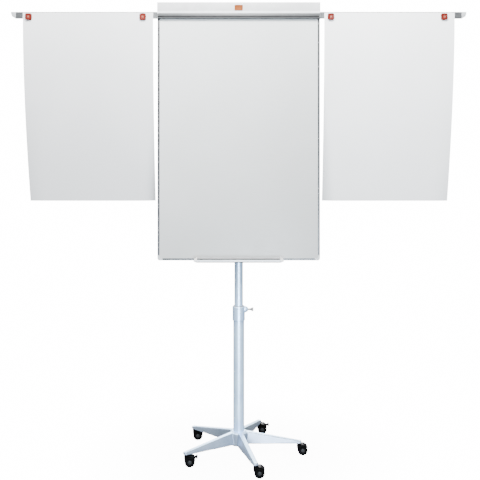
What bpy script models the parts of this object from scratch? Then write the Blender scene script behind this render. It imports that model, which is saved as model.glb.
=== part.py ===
# Mobile flip chart easel: whiteboard on a telescopic column with a five-caster star base,
# a clamp for a paper pad, a pen tray and two swinging side arms that each hold a sheet.
# Metres, +Z up. The column's axis is x = 0, y = 0, the floor is z = 0, the board faces -Y.

import math

import bmesh
import bpy
from mathutils import Matrix, Vector

# Driving dimensions
GAP = 0.0003  # between faces that touch on the real object
BOARD_WIDTH = 0.700
BOARD_BOTTOM = 0.849
BOARD_FRONT = -0.0615  # the frame's front face
BOARD_DEPTH = 0.0171
CLAMP_BOTTOM = 1.890
HEADER_BOTTOM = 1.912
HEADER_TOP = 1.959

CASTER_CIRCLE = 0.262  # radius on which the five stems stand
STAR_TURN = -3.0  # degrees from +X to the first arm
ARM_COUNT = 5
HUB_BOTTOM = 0.040
HUB_TOP = 0.100
HUB_RADIUS = 0.040
STAR_TIP_TOP = 0.0603
STAR_TIP_BOTTOM = 0.0495

LOWER_TUBE_RADIUS = 0.024
UPPER_TUBE_RADIUS = 0.019
TUBE_WALL = 0.002
LOWER_TUBE_TOP = 0.634
UPPER_TUBE_BOTTOM = 0.360
UPPER_TUBE_TOP = 1.800
COLLAR_RADIUS = 0.0275
COLLAR_BOTTOM = 0.581
COLLAR_TOP = 0.642
KNOB_HEIGHT = 0.628

WHEEL_RADIUS = 0.0215
WHEEL_STEPS = 20
WHEEL_INNER = 0.0056  # from the caster's middle plane
WHEEL_OUTER = 0.0195
CASTER_TRAIL = 0.0163
BRAKED = (1, 3)  # casters with a brake pedal

TRAY_WIDTH = 0.354
TRAY_DEPTH = 0.0547
TRAY_BOTTOM = 0.8455
TRAY_TOP = 0.8577  # the front lip
TRAY_BACK_TOP = 0.8635
TRAY_SHEET = 0.0015
TRAY_UNDERCUT = 0.0045
TRAY_END_WIDTH = 0.014
TRAY_END_TOP = 0.8660

SIDE_ARM_PIVOT = 0.330
SIDE_ARM_END = 0.990
SIDE_ARM_BOTTOM = 1.8975
SIDE_ARM_TOP = 1.9257
SIDE_ARM_FRONT = -0.0395
SIDE_ARM_DEPTH = 0.0095
SHEET_INNER = 0.372
SHEET_OUTER = 0.938
SHEET_TOP = 1.9227
SHEET_LENGTH = 0.830  # measured along the paper
SHEET_LEAN = 0.105  # how far its lower edge hangs behind its upper edge
SHEET_THICKNESS = 0.0008
MAGNET_SIDE = 0.028
MAGNET_DEPTH = 0.008
MAGNET_HEIGHT = 1.904  # of their middles
MAGNETS = {"left": (0.4165, 0.912), "right": (0.400, 0.892)}  # inner, outer

# Derived
HALF_BOARD = BOARD_WIDTH / 2
BOARD_BACK = BOARD_FRONT + BOARD_DEPTH
AXLE_HEIGHT = WHEEL_RADIUS * math.cos(math.pi / WHEEL_STEPS)  # a wheel rests on one facet
PIVOT_Y = SIDE_ARM_FRONT + 0.007
STAR_ANGLES = [math.radians(STAR_TURN + 360 / ARM_COUNT * k) for k in range(ARM_COUNT)]
SIDES = {"left": -1, "right": 1}

AXIS_X = Matrix.Rotation(math.radians(90), 4, "Y")  # turns +Z to +X
AXIS_Y = Matrix.Rotation(math.radians(-90), 4, "X")  # turns +Z to +Y


def place_in(plane, u, v, w):
    # A point of an outline at (u, v) in the named plane, w along its normal
    if plane == "XY":
        return Vector((u, v, w))
    if plane == "XZ":
        return Vector((u, w, v))
    return Vector((w, u, v))


def arc(centre, radius, start, end, steps):
    # Points on an arc, both ends included, angles in degrees
    points = []
    for k in range(steps + 1):
        angle = math.radians(start + (end - start) * k / steps)
        points.append((centre[0] + radius * math.cos(angle), centre[1] + radius * math.sin(angle)))
    return points


def rectangle(low, high):
    return [low, (high[0], low[1]), high, (low[0], high[1])]


def add_prism(mesh, outline, low, high, plane):
    # A closed outline given a depth along the normal of its plane
    corners = [mesh.verts.new(place_in(plane, u, v, low)) for u, v in outline]
    face = mesh.faces.new(corners)
    grown = bmesh.ops.extrude_face_region(mesh, geom=[face])
    moved = [item for item in grown["geom"] if isinstance(item, bmesh.types.BMVert)]
    bmesh.ops.translate(mesh, vec=place_in(plane, 0, 0, high - low), verts=moved)


def add_box(mesh, low, high):
    add_prism(mesh, rectangle(low[:2], high[:2]), low[2], high[2], "XY")


def add_turned(mesh, profile, steps, place=Matrix(), phase=0.0):
    # Points (radius, height) spun about Z, then set in place; closed, or open from axis to axis
    start = Matrix.Rotation(phase, 4, "Z")
    corners = [mesh.verts.new(start @ Vector((r, 0, z))) for r, z in profile]
    edges = [mesh.edges.new(pair) for pair in zip(corners, corners[1:])]
    if profile[0][0] > 0:
        edges.append(mesh.edges.new((corners[-1], corners[0])))
    known = set(mesh.verts) - set(corners)
    bmesh.ops.spin(
        mesh, geom=corners + edges, cent=(0, 0, 0), axis=(0, 0, 1), angle=2 * math.pi,
        steps=steps, use_merge=False,
    )
    made = [vert for vert in mesh.verts if vert not in known]
    bmesh.ops.transform(mesh, matrix=place, verts=made)
    bmesh.ops.remove_doubles(mesh, verts=made, dist=0.000005)


def add_cylinder(mesh, radius, low, high, steps, place=Matrix()):
    add_turned(mesh, [(0, low), (radius, low), (radius, high), (0, high)], steps, place)


def add_loft(mesh, lower, upper):
    # Two rings with the same number of points, capped and joined by quads
    rings = [[mesh.verts.new(point) for point in ring] for ring in (lower, upper)]
    count = len(lower)
    mesh.faces.new(rings[0])
    mesh.faces.new(rings[1])
    for k in range(count):
        after = (k + 1) % count
        mesh.faces.new((rings[0][k], rings[0][after], rings[1][after], rings[1][k]))


def make_material(name, colour, metallic, roughness):
    material = bpy.data.materials.new(name)
    material.use_nodes = True
    shader = material.node_tree.nodes["Principled BSDF"]
    shader.inputs["Base Color"].default_value = (*colour, 1)
    shader.inputs["Metallic"].default_value = metallic
    shader.inputs["Roughness"].default_value = roughness
    return material


def make_object(name, mesh, material=None, origin=(0, 0, 0), parent=None, smooth=False):
    # The mesh is in the parent's frame; the object's own origin goes to origin
    bmesh.ops.recalc_face_normals(mesh, faces=mesh.faces)
    bmesh.ops.translate(mesh, vec=-Vector(origin), verts=mesh.verts)
    data = bpy.data.meshes.new(name)
    mesh.to_mesh(data)
    mesh.free()
    piece = bpy.data.objects.new(name, data)
    piece.location = origin
    piece.parent = parent
    bpy.context.scene.collection.objects.link(piece)
    if material:
        data.materials.append(material)
    if smooth:
        data.shade_smooth()
        data.set_sharp_from_angle(angle=math.radians(35))
    return piece


def make_empty(name, origin):
    empty = bpy.data.objects.new(name, None)
    empty.location = origin
    bpy.context.scene.collection.objects.link(empty)
    return empty


def combine(piece, operation, mesh):
    # A Boolean with a guide object that is never rendered
    guide = make_object(f"{piece.name}_{operation.lower()}_guide", mesh, parent=piece.parent)
    guide.hide_render = True
    guide.display_type = "WIRE"
    modifier = piece.modifiers.new(operation.title(), "BOOLEAN")
    modifier.operation = operation
    modifier.solver = "EXACT"
    modifier.object = guide


def round_edges(piece, width, segments=2, angle=40):
    modifier = piece.modifiers.new("Bevel", "BEVEL")
    modifier.width = width
    modifier.segments = segments
    modifier.limit_method = "ANGLE"
    modifier.angle_limit = math.radians(angle)


def star_arm_ring(angle, start, end, half_start, half_end, height):
    # An arm's plan outline with a round tip, at the height that the function gives
    along = [(start, -half_start), (end, -half_end)]
    along += arc((end, 0), half_end, -60, 60, 4)
    along += [(end, half_end), (start, half_start)]
    turn = Matrix.Rotation(angle, 3, "Z")
    return [turn @ Vector((r, side, height(r))) for r, side in along]


def slope(start, end, low, high):
    # A height that runs straight from low at start to high at end
    return lambda r: low + (high - low) * (r - start) / (end - start)


def make_star_base(material):
    start = 0.030
    top = slope(start, CASTER_CIRCLE, HUB_TOP - 0.002, STAR_TIP_TOP)
    bottom = slope(start, CASTER_CIRCLE, 0.0460, STAR_TIP_BOTTOM)

    hub = bmesh.new()
    add_turned(hub, [
        (0, HUB_BOTTOM), (HUB_RADIUS - 0.006, HUB_BOTTOM), (HUB_RADIUS, HUB_BOTTOM + 0.008),
        (HUB_RADIUS, HUB_TOP - 0.012), (HUB_RADIUS - 0.006, HUB_TOP - 0.002),
        (HUB_RADIUS - 0.010, HUB_TOP), (0, HUB_TOP),
    ], 32)
    star = make_object("star_base", hub, material, smooth=True)

    arms = bmesh.new()
    hollows = bmesh.new()
    holes = bmesh.new()
    wall = 0.003
    hollow_start = HUB_RADIUS + 0.006
    hollow_end = CASTER_CIRCLE - 0.024
    for angle in STAR_ANGLES:
        add_loft(
            arms,
            star_arm_ring(angle, start, CASTER_CIRCLE, 0.0190, 0.0125, bottom),
            star_arm_ring(angle, start, CASTER_CIRCLE, 0.0105, 0.0085, top),
        )
        add_loft(
            hollows,
            star_arm_ring(angle, hollow_start, hollow_end, 0.0155, 0.0098, lambda r: bottom(r) - wall),
            star_arm_ring(angle, hollow_start, hollow_end, 0.0072, 0.0058, lambda r: top(r) - wall),
        )
        spot = Matrix.Translation((CASTER_CIRCLE * math.cos(angle), CASTER_CIRCLE * math.sin(angle), 0))
        add_cylinder(holes, 0.0053, STAR_TIP_BOTTOM - 0.005, STAR_TIP_TOP - 0.0015, 16, spot)
    add_turned(holes, [(0, 0.030), (0.0056, 0.030), (0.0056, 0.0597), (LOWER_TUBE_RADIUS + GAP, 0.0597),
                       (LOWER_TUBE_RADIUS + GAP, 0.110), (0, 0.110)], 32)
    combine(star, "UNION", arms)
    combine(star, "DIFFERENCE", hollows)
    combine(star, "DIFFERENCE", holes)


def make_base_bolt(material):
    mesh = bmesh.new()
    add_turned(mesh, [(0, 0.0330), (0.0090, 0.0330), (0.0090, HUB_BOTTOM - GAP), (0.0050, HUB_BOTTOM - GAP),
                      (0.0050, 0.0700), (0, 0.0700)], 12)
    make_object("base_bolt", mesh, material)


def add_tube(mesh, inner, outer, low, high, steps=32):
    add_turned(mesh, [(inner, low), (outer, low), (outer, high), (inner, high)], steps)


def cut_screw_hole(piece):
    mesh = bmesh.new()
    add_cylinder(mesh, 0.0042, 0.010, 0.060, 12, Matrix.Translation((0, 0, KNOB_HEIGHT)) @ AXIS_X)
    combine(piece, "DIFFERENCE", mesh)


def make_lower_tube(material):
    mesh = bmesh.new()
    inner = LOWER_TUBE_RADIUS - TUBE_WALL
    add_turned(mesh, [(0.0056, 0.060), (LOWER_TUBE_RADIUS, 0.060), (LOWER_TUBE_RADIUS, LOWER_TUBE_TOP),
                      (inner, LOWER_TUBE_TOP), (inner, 0.072), (0.0056, 0.072)], 32)
    cut_screw_hole(make_object("lower_tube", mesh, material, smooth=True))


def make_collar(material):
    mesh = bmesh.new()
    inner = LOWER_TUBE_RADIUS + GAP
    lip = UPPER_TUBE_RADIUS + 0.0007
    ledge = LOWER_TUBE_TOP + GAP
    add_turned(mesh, [
        (0, COLLAR_BOTTOM), (COLLAR_RADIUS - 0.001, COLLAR_BOTTOM), (COLLAR_RADIUS, COLLAR_BOTTOM + 0.001),
        (COLLAR_RADIUS, COLLAR_TOP - 0.002), (COLLAR_RADIUS - 0.002, COLLAR_TOP), (0, COLLAR_TOP),
    ], 32)
    collar = make_object("collar", mesh, material, smooth=True)
    boss = bmesh.new()
    add_turned(boss, [
        (0, 0.0100), (0.0138, 0.0100), (0.0138, 0.0290), (0.0125, 0.0335), (0.0098, 0.0375), (0.0070, 0.0405),
        (0.0055, 0.0415), (0, 0.0415),
    ], 20, Matrix.Translation((0, 0, KNOB_HEIGHT)) @ AXIS_X)
    combine(collar, "UNION", boss)
    # Wide below for the lower tube, narrow at the top so that the tube and its bush stay in
    space = bmesh.new()
    add_turned(space, [
        (0, COLLAR_BOTTOM - 0.010), (inner, COLLAR_BOTTOM - 0.010), (inner, ledge), (lip, ledge),
        (lip, COLLAR_TOP + 0.010), (0, COLLAR_TOP + 0.010),
    ], 32)
    combine(collar, "DIFFERENCE", space)
    cut_screw_hole(collar)


def make_collar_bush(material):
    mesh = bmesh.new()
    outer = LOWER_TUBE_RADIUS - TUBE_WALL - GAP
    add_tube(mesh, UPPER_TUBE_RADIUS + GAP, outer, 0.590, LOWER_TUBE_TOP - 0.0005)
    cut_screw_hole(make_object("collar_bush", mesh, material, smooth=True))


def make_clamp_knob(material):
    # Turned about its own axis, which is the screw's
    mesh = bmesh.new()
    profile = [
        (0, 0.0182), (0.0028, 0.0182), (0.0035, 0.0189), (0.0035, 0.0430), (0.0045, 0.0440), (0.0042, 0.0490),
        (0.0050, 0.0520), (0.0075, 0.0570), (0.0088, 0.0610), (0.0085, 0.0635), (0.0070, 0.0645), (0, 0.0645),
    ]
    place = Matrix.Translation((0, 0, KNOB_HEIGHT)) @ AXIS_X
    add_turned(mesh, profile, 16, place)
    make_object("clamp_knob", mesh, material, origin=(0, 0, KNOB_HEIGHT), smooth=True)


def make_upper_tube(material, mast):
    mesh = bmesh.new()
    add_tube(mesh, UPPER_TUBE_RADIUS - TUBE_WALL, UPPER_TUBE_RADIUS, UPPER_TUBE_BOTTOM, UPPER_TUBE_TOP)
    tube = make_object("upper_tube", mesh, material, parent=mast, smooth=True)
    # The clamping screw's tip runs in this groove, which keeps the board facing forwards
    groove = bmesh.new()
    add_box(groove, (UPPER_TUBE_RADIUS - 0.0012, -0.0042, UPPER_TUBE_BOTTOM - 0.010), (0.030, 0.0042, 0.930))
    combine(tube, "DIFFERENCE", groove)

    ring = bmesh.new()
    outer = LOWER_TUBE_RADIUS - TUBE_WALL - GAP
    add_tube(ring, UPPER_TUBE_RADIUS + GAP, outer, UPPER_TUBE_BOTTOM, UPPER_TUBE_BOTTOM + 0.040)
    make_object("upper_tube_guide", ring, make_material("guide_plastic", (0.75, 0.76, 0.78), 0, 0.5),
                parent=mast, smooth=True)


def make_saddle(name, height, material, mast):
    # A plate on the board's back with a ring around the upper tube
    half = 0.030
    plate = bmesh.new()
    add_box(plate, (-0.060, BOARD_BACK + GAP, height - half), (0.060, BOARD_BACK + 0.0043, height + half))
    saddle = make_object(name, plate, material, parent=mast)
    body = bmesh.new()
    add_box(body, (-0.025, BOARD_BACK + 0.0030, height - half), (0.025, 0, height + half))
    combine(saddle, "UNION", body)
    ring = bmesh.new()
    add_cylinder(ring, 0.025, height - half, height + half, 32)
    combine(saddle, "UNION", ring)
    bore = bmesh.new()
    add_cylinder(bore, UPPER_TUBE_RADIUS + GAP, height - half - 0.010, height + half + 0.010, 32)
    combine(saddle, "DIFFERENCE", bore)


FRAME_WALL = 0.0014
FRAME_LIP = 0.0012
FRAME_FACE = 0.009  # the frame's width as seen from the front
CORNER_RADIUS = 0.010
CORNER_LEG = 0.022
PANEL_FIT = FRAME_WALL + 0.0004
GROOVE_FRONT = BOARD_FRONT + FRAME_LIP
GROOVE_BACK = BOARD_BACK - FRAME_LIP
PANEL_TOP = 1.9010
SLOT_HEIGHT = 1.930
HINGE = (-0.0665, 1.951)  # y and z of the clamp's axis


def panel_outline():
    # The board's sheets: square at the top, round at the bottom corners
    half = HALF_BOARD - PANEL_FIT
    low = BOARD_BOTTOM + PANEL_FIT
    radius = CORNER_RADIUS - PANEL_FIT
    outline = [(half, PANEL_TOP), (-half, PANEL_TOP)]
    outline += arc((-half + radius, low + radius), radius, 180, 270, 5)
    outline += arc((half - radius, low + radius), radius, 270, 360, 5)
    return outline


def make_panels(mast, paint, core, back):
    layers = (
        ("writing_surface", paint, GROOVE_FRONT + GAP, 0.0008),
        ("board_core", core, GROOVE_FRONT + 0.0014, 0.0120),
        ("back_sheet", back, GROOVE_FRONT + 0.0137, 0.0007),
    )
    for name, material, front, thickness in layers:
        mesh = bmesh.new()
        add_prism(mesh, panel_outline(), front, front + thickness, "XZ")
        make_object(name, mesh, material, parent=mast)


def channel_profile(outside, inward):
    # A channel's section as (across, depth) points; it opens inwards and holds the board's edge
    wall = outside + inward * FRAME_WALL
    open_edge = outside + inward * FRAME_FACE
    return [
        (outside, BOARD_FRONT), (open_edge, BOARD_FRONT), (open_edge, GROOVE_FRONT), (wall, GROOVE_FRONT),
        (wall, GROOVE_BACK), (open_edge, GROOVE_BACK), (open_edge, BOARD_BACK), (outside, BOARD_BACK),
    ]


def make_frame(mast, material, corner_material):
    for side_name, side in SIDES.items():
        rail = bmesh.new()
        add_prism(rail, channel_profile(side * HALF_BOARD, -side), BOARD_BOTTOM + CORNER_LEG + GAP,
                  CLAMP_BOTTOM - GAP, "XY")
        make_object(f"frame_{side_name}_rail", rail, material, parent=mast)

        corner = bmesh.new()
        edge = HALF_BOARD
        low = BOARD_BOTTOM
        outline = [(edge - CORNER_LEG, low)]
        outline += arc((edge - CORNER_RADIUS, low + CORNER_RADIUS), CORNER_RADIUS, 270, 360, 6)
        outline += [(edge, low + CORNER_LEG), (edge - FRAME_FACE, low + CORNER_LEG),
                    (edge - FRAME_FACE, low + FRAME_FACE), (edge - CORNER_LEG, low + FRAME_FACE)]
        add_prism(corner, [(side * x, z) for x, z in outline], BOARD_FRONT, BOARD_BACK, "XZ")
        block = make_object(f"corner_bottom_{side_name}", corner, corner_material, parent=mast)
        pocket = bmesh.new()
        radius = CORNER_RADIUS - FRAME_WALL
        inner = [(edge - 0.040, low + FRAME_WALL)]
        inner += arc((edge - CORNER_RADIUS, low + CORNER_RADIUS), radius, 270, 360, 6)
        inner += [(edge - FRAME_WALL, low + 0.040), (edge - 0.040, low + 0.040)]
        add_prism(pocket, [(side * x, z) for x, z in inner], GROOVE_FRONT, GROOVE_BACK, "XZ")
        combine(block, "DIFFERENCE", pocket)

    rail = bmesh.new()
    profile = [(y, z) for z, y in channel_profile(BOARD_BOTTOM, 1)]
    half = HALF_BOARD - CORNER_LEG - GAP
    add_prism(rail, profile, -half, half, "YZ")
    make_object("frame_bottom_rail", rail, material, parent=mast)


def make_top_rail(mast, material):
    # An extruded rail: a groove below for the board, a T slot in front for the pad hooks
    top = HEADER_TOP - 0.004
    ceiling = PANEL_TOP + 0.0004
    slot_mouth = BOARD_FRONT + 0.0020
    slot_floor = BOARD_FRONT + 0.0065
    profile = [
        (BOARD_FRONT, CLAMP_BOTTOM), (GROOVE_FRONT, CLAMP_BOTTOM), (GROOVE_FRONT, ceiling), (GROOVE_BACK, ceiling),
        (GROOVE_BACK, CLAMP_BOTTOM), (BOARD_BACK, CLAMP_BOTTOM), (BOARD_BACK, top), (BOARD_FRONT, top),
        (BOARD_FRONT, SLOT_HEIGHT + 0.003), (slot_mouth, SLOT_HEIGHT + 0.003), (slot_mouth, SLOT_HEIGHT + 0.0065),
        (slot_floor, SLOT_HEIGHT + 0.0065), (slot_floor, SLOT_HEIGHT - 0.0065), (slot_mouth, SLOT_HEIGHT - 0.0065),
        (slot_mouth, SLOT_HEIGHT - 0.003), (BOARD_FRONT, SLOT_HEIGHT - 0.003),
    ]
    mesh = bmesh.new()
    add_prism(mesh, profile, -HALF_BOARD, HALF_BOARD, "YZ")
    rail = make_object("top_rail", mesh, material, parent=mast)
    hollow = bmesh.new()
    add_box(hollow, (-0.400, slot_floor + 0.0020, ceiling + 0.003),
            (0.400, BOARD_BACK - 0.0020, top - 0.003))
    combine(rail, "DIFFERENCE", hollow)
    knuckles = bmesh.new()
    bores = bmesh.new()
    outline = arc(HINGE, 0.0042, 90, 270, 8)
    outline += [(BOARD_FRONT + 0.0010, HINGE[1] - 0.0042), (BOARD_FRONT + 0.0010, HINGE[1] + 0.0042)]
    for side in SIDES.values():
        middle = side * 0.250
        add_prism(knuckles, outline, middle - 0.010, middle + 0.010, "YZ")
        add_prism(bores, arc(HINGE, 0.0023, 0, 330, 11), middle - 0.015, middle + 0.015, "YZ")
    combine(rail, "UNION", knuckles)
    combine(rail, "DIFFERENCE", bores)

    rod = bmesh.new()
    add_prism(rod, arc(HINGE, 0.0020, 0, 330, 11), -HALF_BOARD + 0.0005, HALF_BOARD - 0.0005, "YZ")
    make_object("hinge_rod", rod, make_material("hinge_rod_steel", (0.55, 0.56, 0.58), 1, 0.3), parent=mast)


def make_pad_hook(side_name, side, mast, material):
    # A T foot in the rail's slot with a round peg in front that a pad's hole hangs on
    x = side * 0.140
    mesh = bmesh.new()
    front = BOARD_FRONT
    add_turned(mesh, [
        (0, front + 0.0040), (0.0026, front + 0.0040), (0.0026, front - 0.0005), (0.0060, front - 0.0005),
        (0.0060, front - 0.0020), (0.0032, front - 0.0030), (0.0032, front - 0.0110), (0.0045, front - 0.0120),
        (0.0040, front - 0.0132), (0, front - 0.0135),
    ], 12, Matrix.Translation((x, 0, SLOT_HEIGHT)) @ AXIS_Y)
    hook = make_object(f"pad_hook_{side_name}", mesh, material, origin=(x, front, SLOT_HEIGHT), parent=mast,
                       smooth=True)
    foot = bmesh.new()
    add_box(foot, (x - 0.007, front + 0.0024, SLOT_HEIGHT - 0.0060),
            (x + 0.007, front + 0.0060, SLOT_HEIGHT + 0.0060))
    combine(hook, "UNION", foot)


HEADER_FRONT = -0.0780
HEADER_SHEET = 0.0014


def make_header(clamp, paint, badge_material, bar_material):
    bend = HEADER_BOTTOM + 0.0092
    lip = HEADER_FRONT + 0.0030
    top_edge = HINGE[0] - 0.0010
    profile = [
        (top_edge, HEADER_TOP), (HEADER_FRONT + 0.0012, HEADER_TOP), (HEADER_FRONT, HEADER_TOP - 0.0012),
        (HEADER_FRONT, bend), (lip, HEADER_BOTTOM), (lip + 0.0015, HEADER_BOTTOM),
        (HEADER_FRONT + HEADER_SHEET, bend + 0.0004), (HEADER_FRONT + HEADER_SHEET, HEADER_TOP - 0.0018),
        (HEADER_FRONT + 0.0018, HEADER_TOP - HEADER_SHEET), (top_edge, HEADER_TOP - HEADER_SHEET),
    ]
    mesh = bmesh.new()
    add_prism(mesh, profile, -HALF_BOARD, HALF_BOARD, "YZ")
    origin = (0, HINGE[0], HINGE[1])
    plate = make_object("header_plate", mesh, paint, origin=origin, parent=clamp)
    cheeks = bmesh.new()
    bores = bmesh.new()
    trim = 0.0001
    outline = [(HEADER_FRONT + trim, bend), (HEADER_FRONT + trim, HEADER_TOP - 0.0013),
               (HEADER_FRONT + 0.0013, HEADER_TOP - trim), (top_edge, HEADER_TOP - trim)]
    outline += arc(HINGE, 0.0036, 90, 0, 5)
    outline += [(HINGE[0] + 0.0036, HEADER_BOTTOM + 0.0005), (lip + trim, HEADER_BOTTOM + 0.0005)]
    for side in SIDES.values():
        outer = side * (HALF_BOARD - trim)
        inner = side * (HALF_BOARD - 0.0015)
        add_prism(cheeks, outline, min(outer, inner), max(outer, inner), "YZ")
        low, high = min(inner, outer) - 0.002, max(inner, outer) + 0.002
        add_prism(bores, arc(HINGE, 0.0023, 0, 330, 11), low, high, "YZ")
    combine(plate, "UNION", cheeks)
    combine(plate, "DIFFERENCE", bores)

    badge = bmesh.new()
    front = HEADER_FRONT - 0.0018
    add_box(badge, (-0.0158, front, 1.924), (0.0158, HEADER_FRONT - GAP, 1.9455))
    round_edges(make_object("header_badge", badge, badge_material, parent=clamp), 0.0006, 1)

    bar = bmesh.new()
    rear = BOARD_FRONT - GAP
    low = CLAMP_BOTTOM + 0.0005
    high = HEADER_BOTTOM - GAP
    add_prism(bar, [
        (rear, low), (-0.0725, low), (-0.0740, low + 0.0015), (-0.0740, 1.8980), (-0.0722, 1.8986),
        (-0.0722, 1.8998), (-0.0745, 1.9004), (-0.0745, high), (-0.0730, high), (-0.0730, 1.9180),
        (-0.0705, 1.9180), (-0.0705, high), (rear, high),
    ], -HALF_BOARD + 0.002, HALF_BOARD - 0.002, "YZ")
    make_object("clamp_bar", bar, bar_material, origin=origin, parent=clamp)


def make_tray(mast, material, end_material):
    rear = BOARD_FRONT - GAP
    front = rear - TRAY_DEPTH
    sheet = TRAY_SHEET
    low = TRAY_BOTTOM
    undercut = TRAY_UNDERCUT
    profile = [
        (rear, low), (rear, TRAY_BACK_TOP), (rear - sheet, TRAY_BACK_TOP), (rear - sheet, low + sheet),
        (front + undercut + 0.0006, low + sheet), (front + sheet, low + undercut + 0.0006),
        (front + sheet, TRAY_TOP), (front, TRAY_TOP), (front, low + undercut), (front + undercut, low),
    ]
    mesh = bmesh.new()
    half = TRAY_WIDTH / 2
    add_prism(mesh, profile, -half, half, "YZ")
    make_object("pen_tray", mesh, material, parent=mast)

    # Each end cap closes the trough and slopes away to the side
    outline = [(rear, low - 0.0003), (rear, TRAY_END_TOP), (rear - 0.006, TRAY_END_TOP),
               (front - 0.001, TRAY_TOP + 0.0005),
               (front - 0.001, low + undercut - 0.001), (front + undercut - 0.001, low - 0.0003)]
    for side_name, side in SIDES.items():
        start = side * (half + GAP)
        end = side * (half + TRAY_END_WIDTH)
        slim = [(y, BOARD_BOTTOM + 0.003 + (z - BOARD_BOTTOM) * 0.35) for y, z in outline]
        cap = bmesh.new()
        add_loft(cap, [Vector((start, y, z)) for y, z in outline], [Vector((end, y, z)) for y, z in slim])
        make_object(f"tray_end_{side_name}", cap, end_material, parent=mast)


def make_side_arm(side_name, side, arm, mast, material, bracket_material):
    back = SIDE_ARM_FRONT + SIDE_ARM_DEPTH
    pivot = (side * SIDE_ARM_PIVOT, PIVOT_Y)
    mesh = bmesh.new()
    tip = SIDE_ARM_END
    taper = tip - 0.022
    outline = [(SIDE_ARM_PIVOT, SIDE_ARM_BOTTOM), (taper, SIDE_ARM_BOTTOM), (tip - 0.004, SIDE_ARM_BOTTOM + 0.009),
               (tip, SIDE_ARM_TOP - 0.006), (tip, SIDE_ARM_TOP), (SIDE_ARM_PIVOT, SIDE_ARM_TOP)]
    add_prism(mesh, [(side * x, z) for x, z in outline], SIDE_ARM_FRONT, back, "XZ")
    bar = make_object(f"side_arm_{side_name}", mesh, material, origin=(*pivot, SIDE_ARM_BOTTOM), parent=arm)
    knuckle = bmesh.new()
    place = Matrix.Translation((*pivot, 0))
    add_cylinder(knuckle, 0.0070, SIDE_ARM_BOTTOM, SIDE_ARM_TOP, 24, place)
    combine(bar, "UNION", knuckle)
    hollow = bmesh.new()
    wall = 0.0016
    near = side * (SIDE_ARM_PIVOT + 0.012)
    far = side * (taper - 0.010)
    add_box(hollow, (min(near, far), SIDE_ARM_FRONT + wall, SIDE_ARM_BOTTOM - 0.005),
            (max(near, far), back - wall, SIDE_ARM_TOP - wall))
    combine(bar, "DIFFERENCE", hollow)
    bore = bmesh.new()
    add_cylinder(bore, 0.0033, SIDE_ARM_BOTTOM - 0.010, SIDE_ARM_TOP + 0.010, 16, place)
    combine(bar, "DIFFERENCE", bore)

    # The bracket behind the board: a plate, two ears and the pivot pin
    ear = 0.0030
    low = SIDE_ARM_BOTTOM - 0.0004 - ear
    high = SIDE_ARM_TOP + 0.0004 + ear
    plate = bmesh.new()
    inner = side * (SIDE_ARM_PIVOT - 0.040)
    outer = side * (SIDE_ARM_PIVOT + 0.012)
    add_box(plate, (min(inner, outer), BOARD_BACK + GAP, low), (max(inner, outer), BOARD_BACK + 0.0030, high))
    bracket = make_object(f"arm_bracket_{side_name}", plate, bracket_material, parent=mast)
    ears = bmesh.new()
    plan = [(pivot[0] - 0.007, BOARD_BACK + 0.0010), (pivot[0] + 0.007, BOARD_BACK + 0.0010)]
    plan += arc(pivot, 0.007, 0, 180, 8)
    add_prism(ears, plan, low, low + ear, "XY")
    add_prism(ears, plan, high - ear, high, "XY")
    combine(bracket, "UNION", ears)
    pin = bmesh.new()
    add_cylinder(pin, 0.0030, low + 0.001, high - 0.001, 16, place)
    combine(bracket, "UNION", pin)


def sheet_line(steps=12):
    # The paper's side view: flat against the arm, then leaning back more and more on its way down
    points = [(0, SHEET_TOP)]
    flat = SHEET_TOP - SIDE_ARM_BOTTOM
    points.append((0, SHEET_TOP - flat))
    step = (SHEET_LENGTH - flat) / steps
    for k in range(steps):
        share = (k + 0.5) / steps
        slant = 1.7 * SHEET_LEAN / (SHEET_LENGTH - flat) * share ** 0.7
        back, height = points[-1]
        points.append((back + step * math.sin(slant), height - step * math.cos(slant)))
    return points


def make_sheet(side_name, side, arm, material):
    inner = side * SHEET_INNER
    outer = side * SHEET_OUTER
    rear = SIDE_ARM_FRONT - GAP
    line = sheet_line()
    outline = [(rear + back, height) for back, height in line]
    outline += [(rear - SHEET_THICKNESS + back, height) for back, height in reversed(line)]
    mesh = bmesh.new()
    add_prism(mesh, outline, min(inner, outer), max(inner, outer), "YZ")
    make_object(f"sheet_{side_name}", mesh, material, parent=arm)


def make_magnet(name, x, arm, material):
    half = MAGNET_SIDE / 2
    radius = 0.007
    rear = SIDE_ARM_FRONT - 2 * GAP - SHEET_THICKNESS
    outline = []
    for k, (across, up) in enumerate(((1, -1), (1, 1), (-1, 1), (-1, -1))):
        middle = (x + across * (half - radius), MAGNET_HEIGHT + up * (half - radius))
        outline += arc(middle, radius, 90 * k - 90, 90 * k, 3)
    mesh = bmesh.new()
    add_prism(mesh, outline, rear - MAGNET_DEPTH, rear, "XZ")
    piece = make_object(name, mesh, material, origin=(x, rear, MAGNET_HEIGHT), parent=arm)
    round_edges(piece, 0.0012, 1, 60)


HOOD_INNER = WHEEL_RADIUS + 0.0011
HOOD_OUTER = HOOD_INNER + 0.0020
HOOD_TOP = 0.0478
HOOD_HALF = WHEEL_OUTER - 0.001
PEDAL_ANGLE = math.radians(38)
PEDAL_REACH = 0.0275


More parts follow.
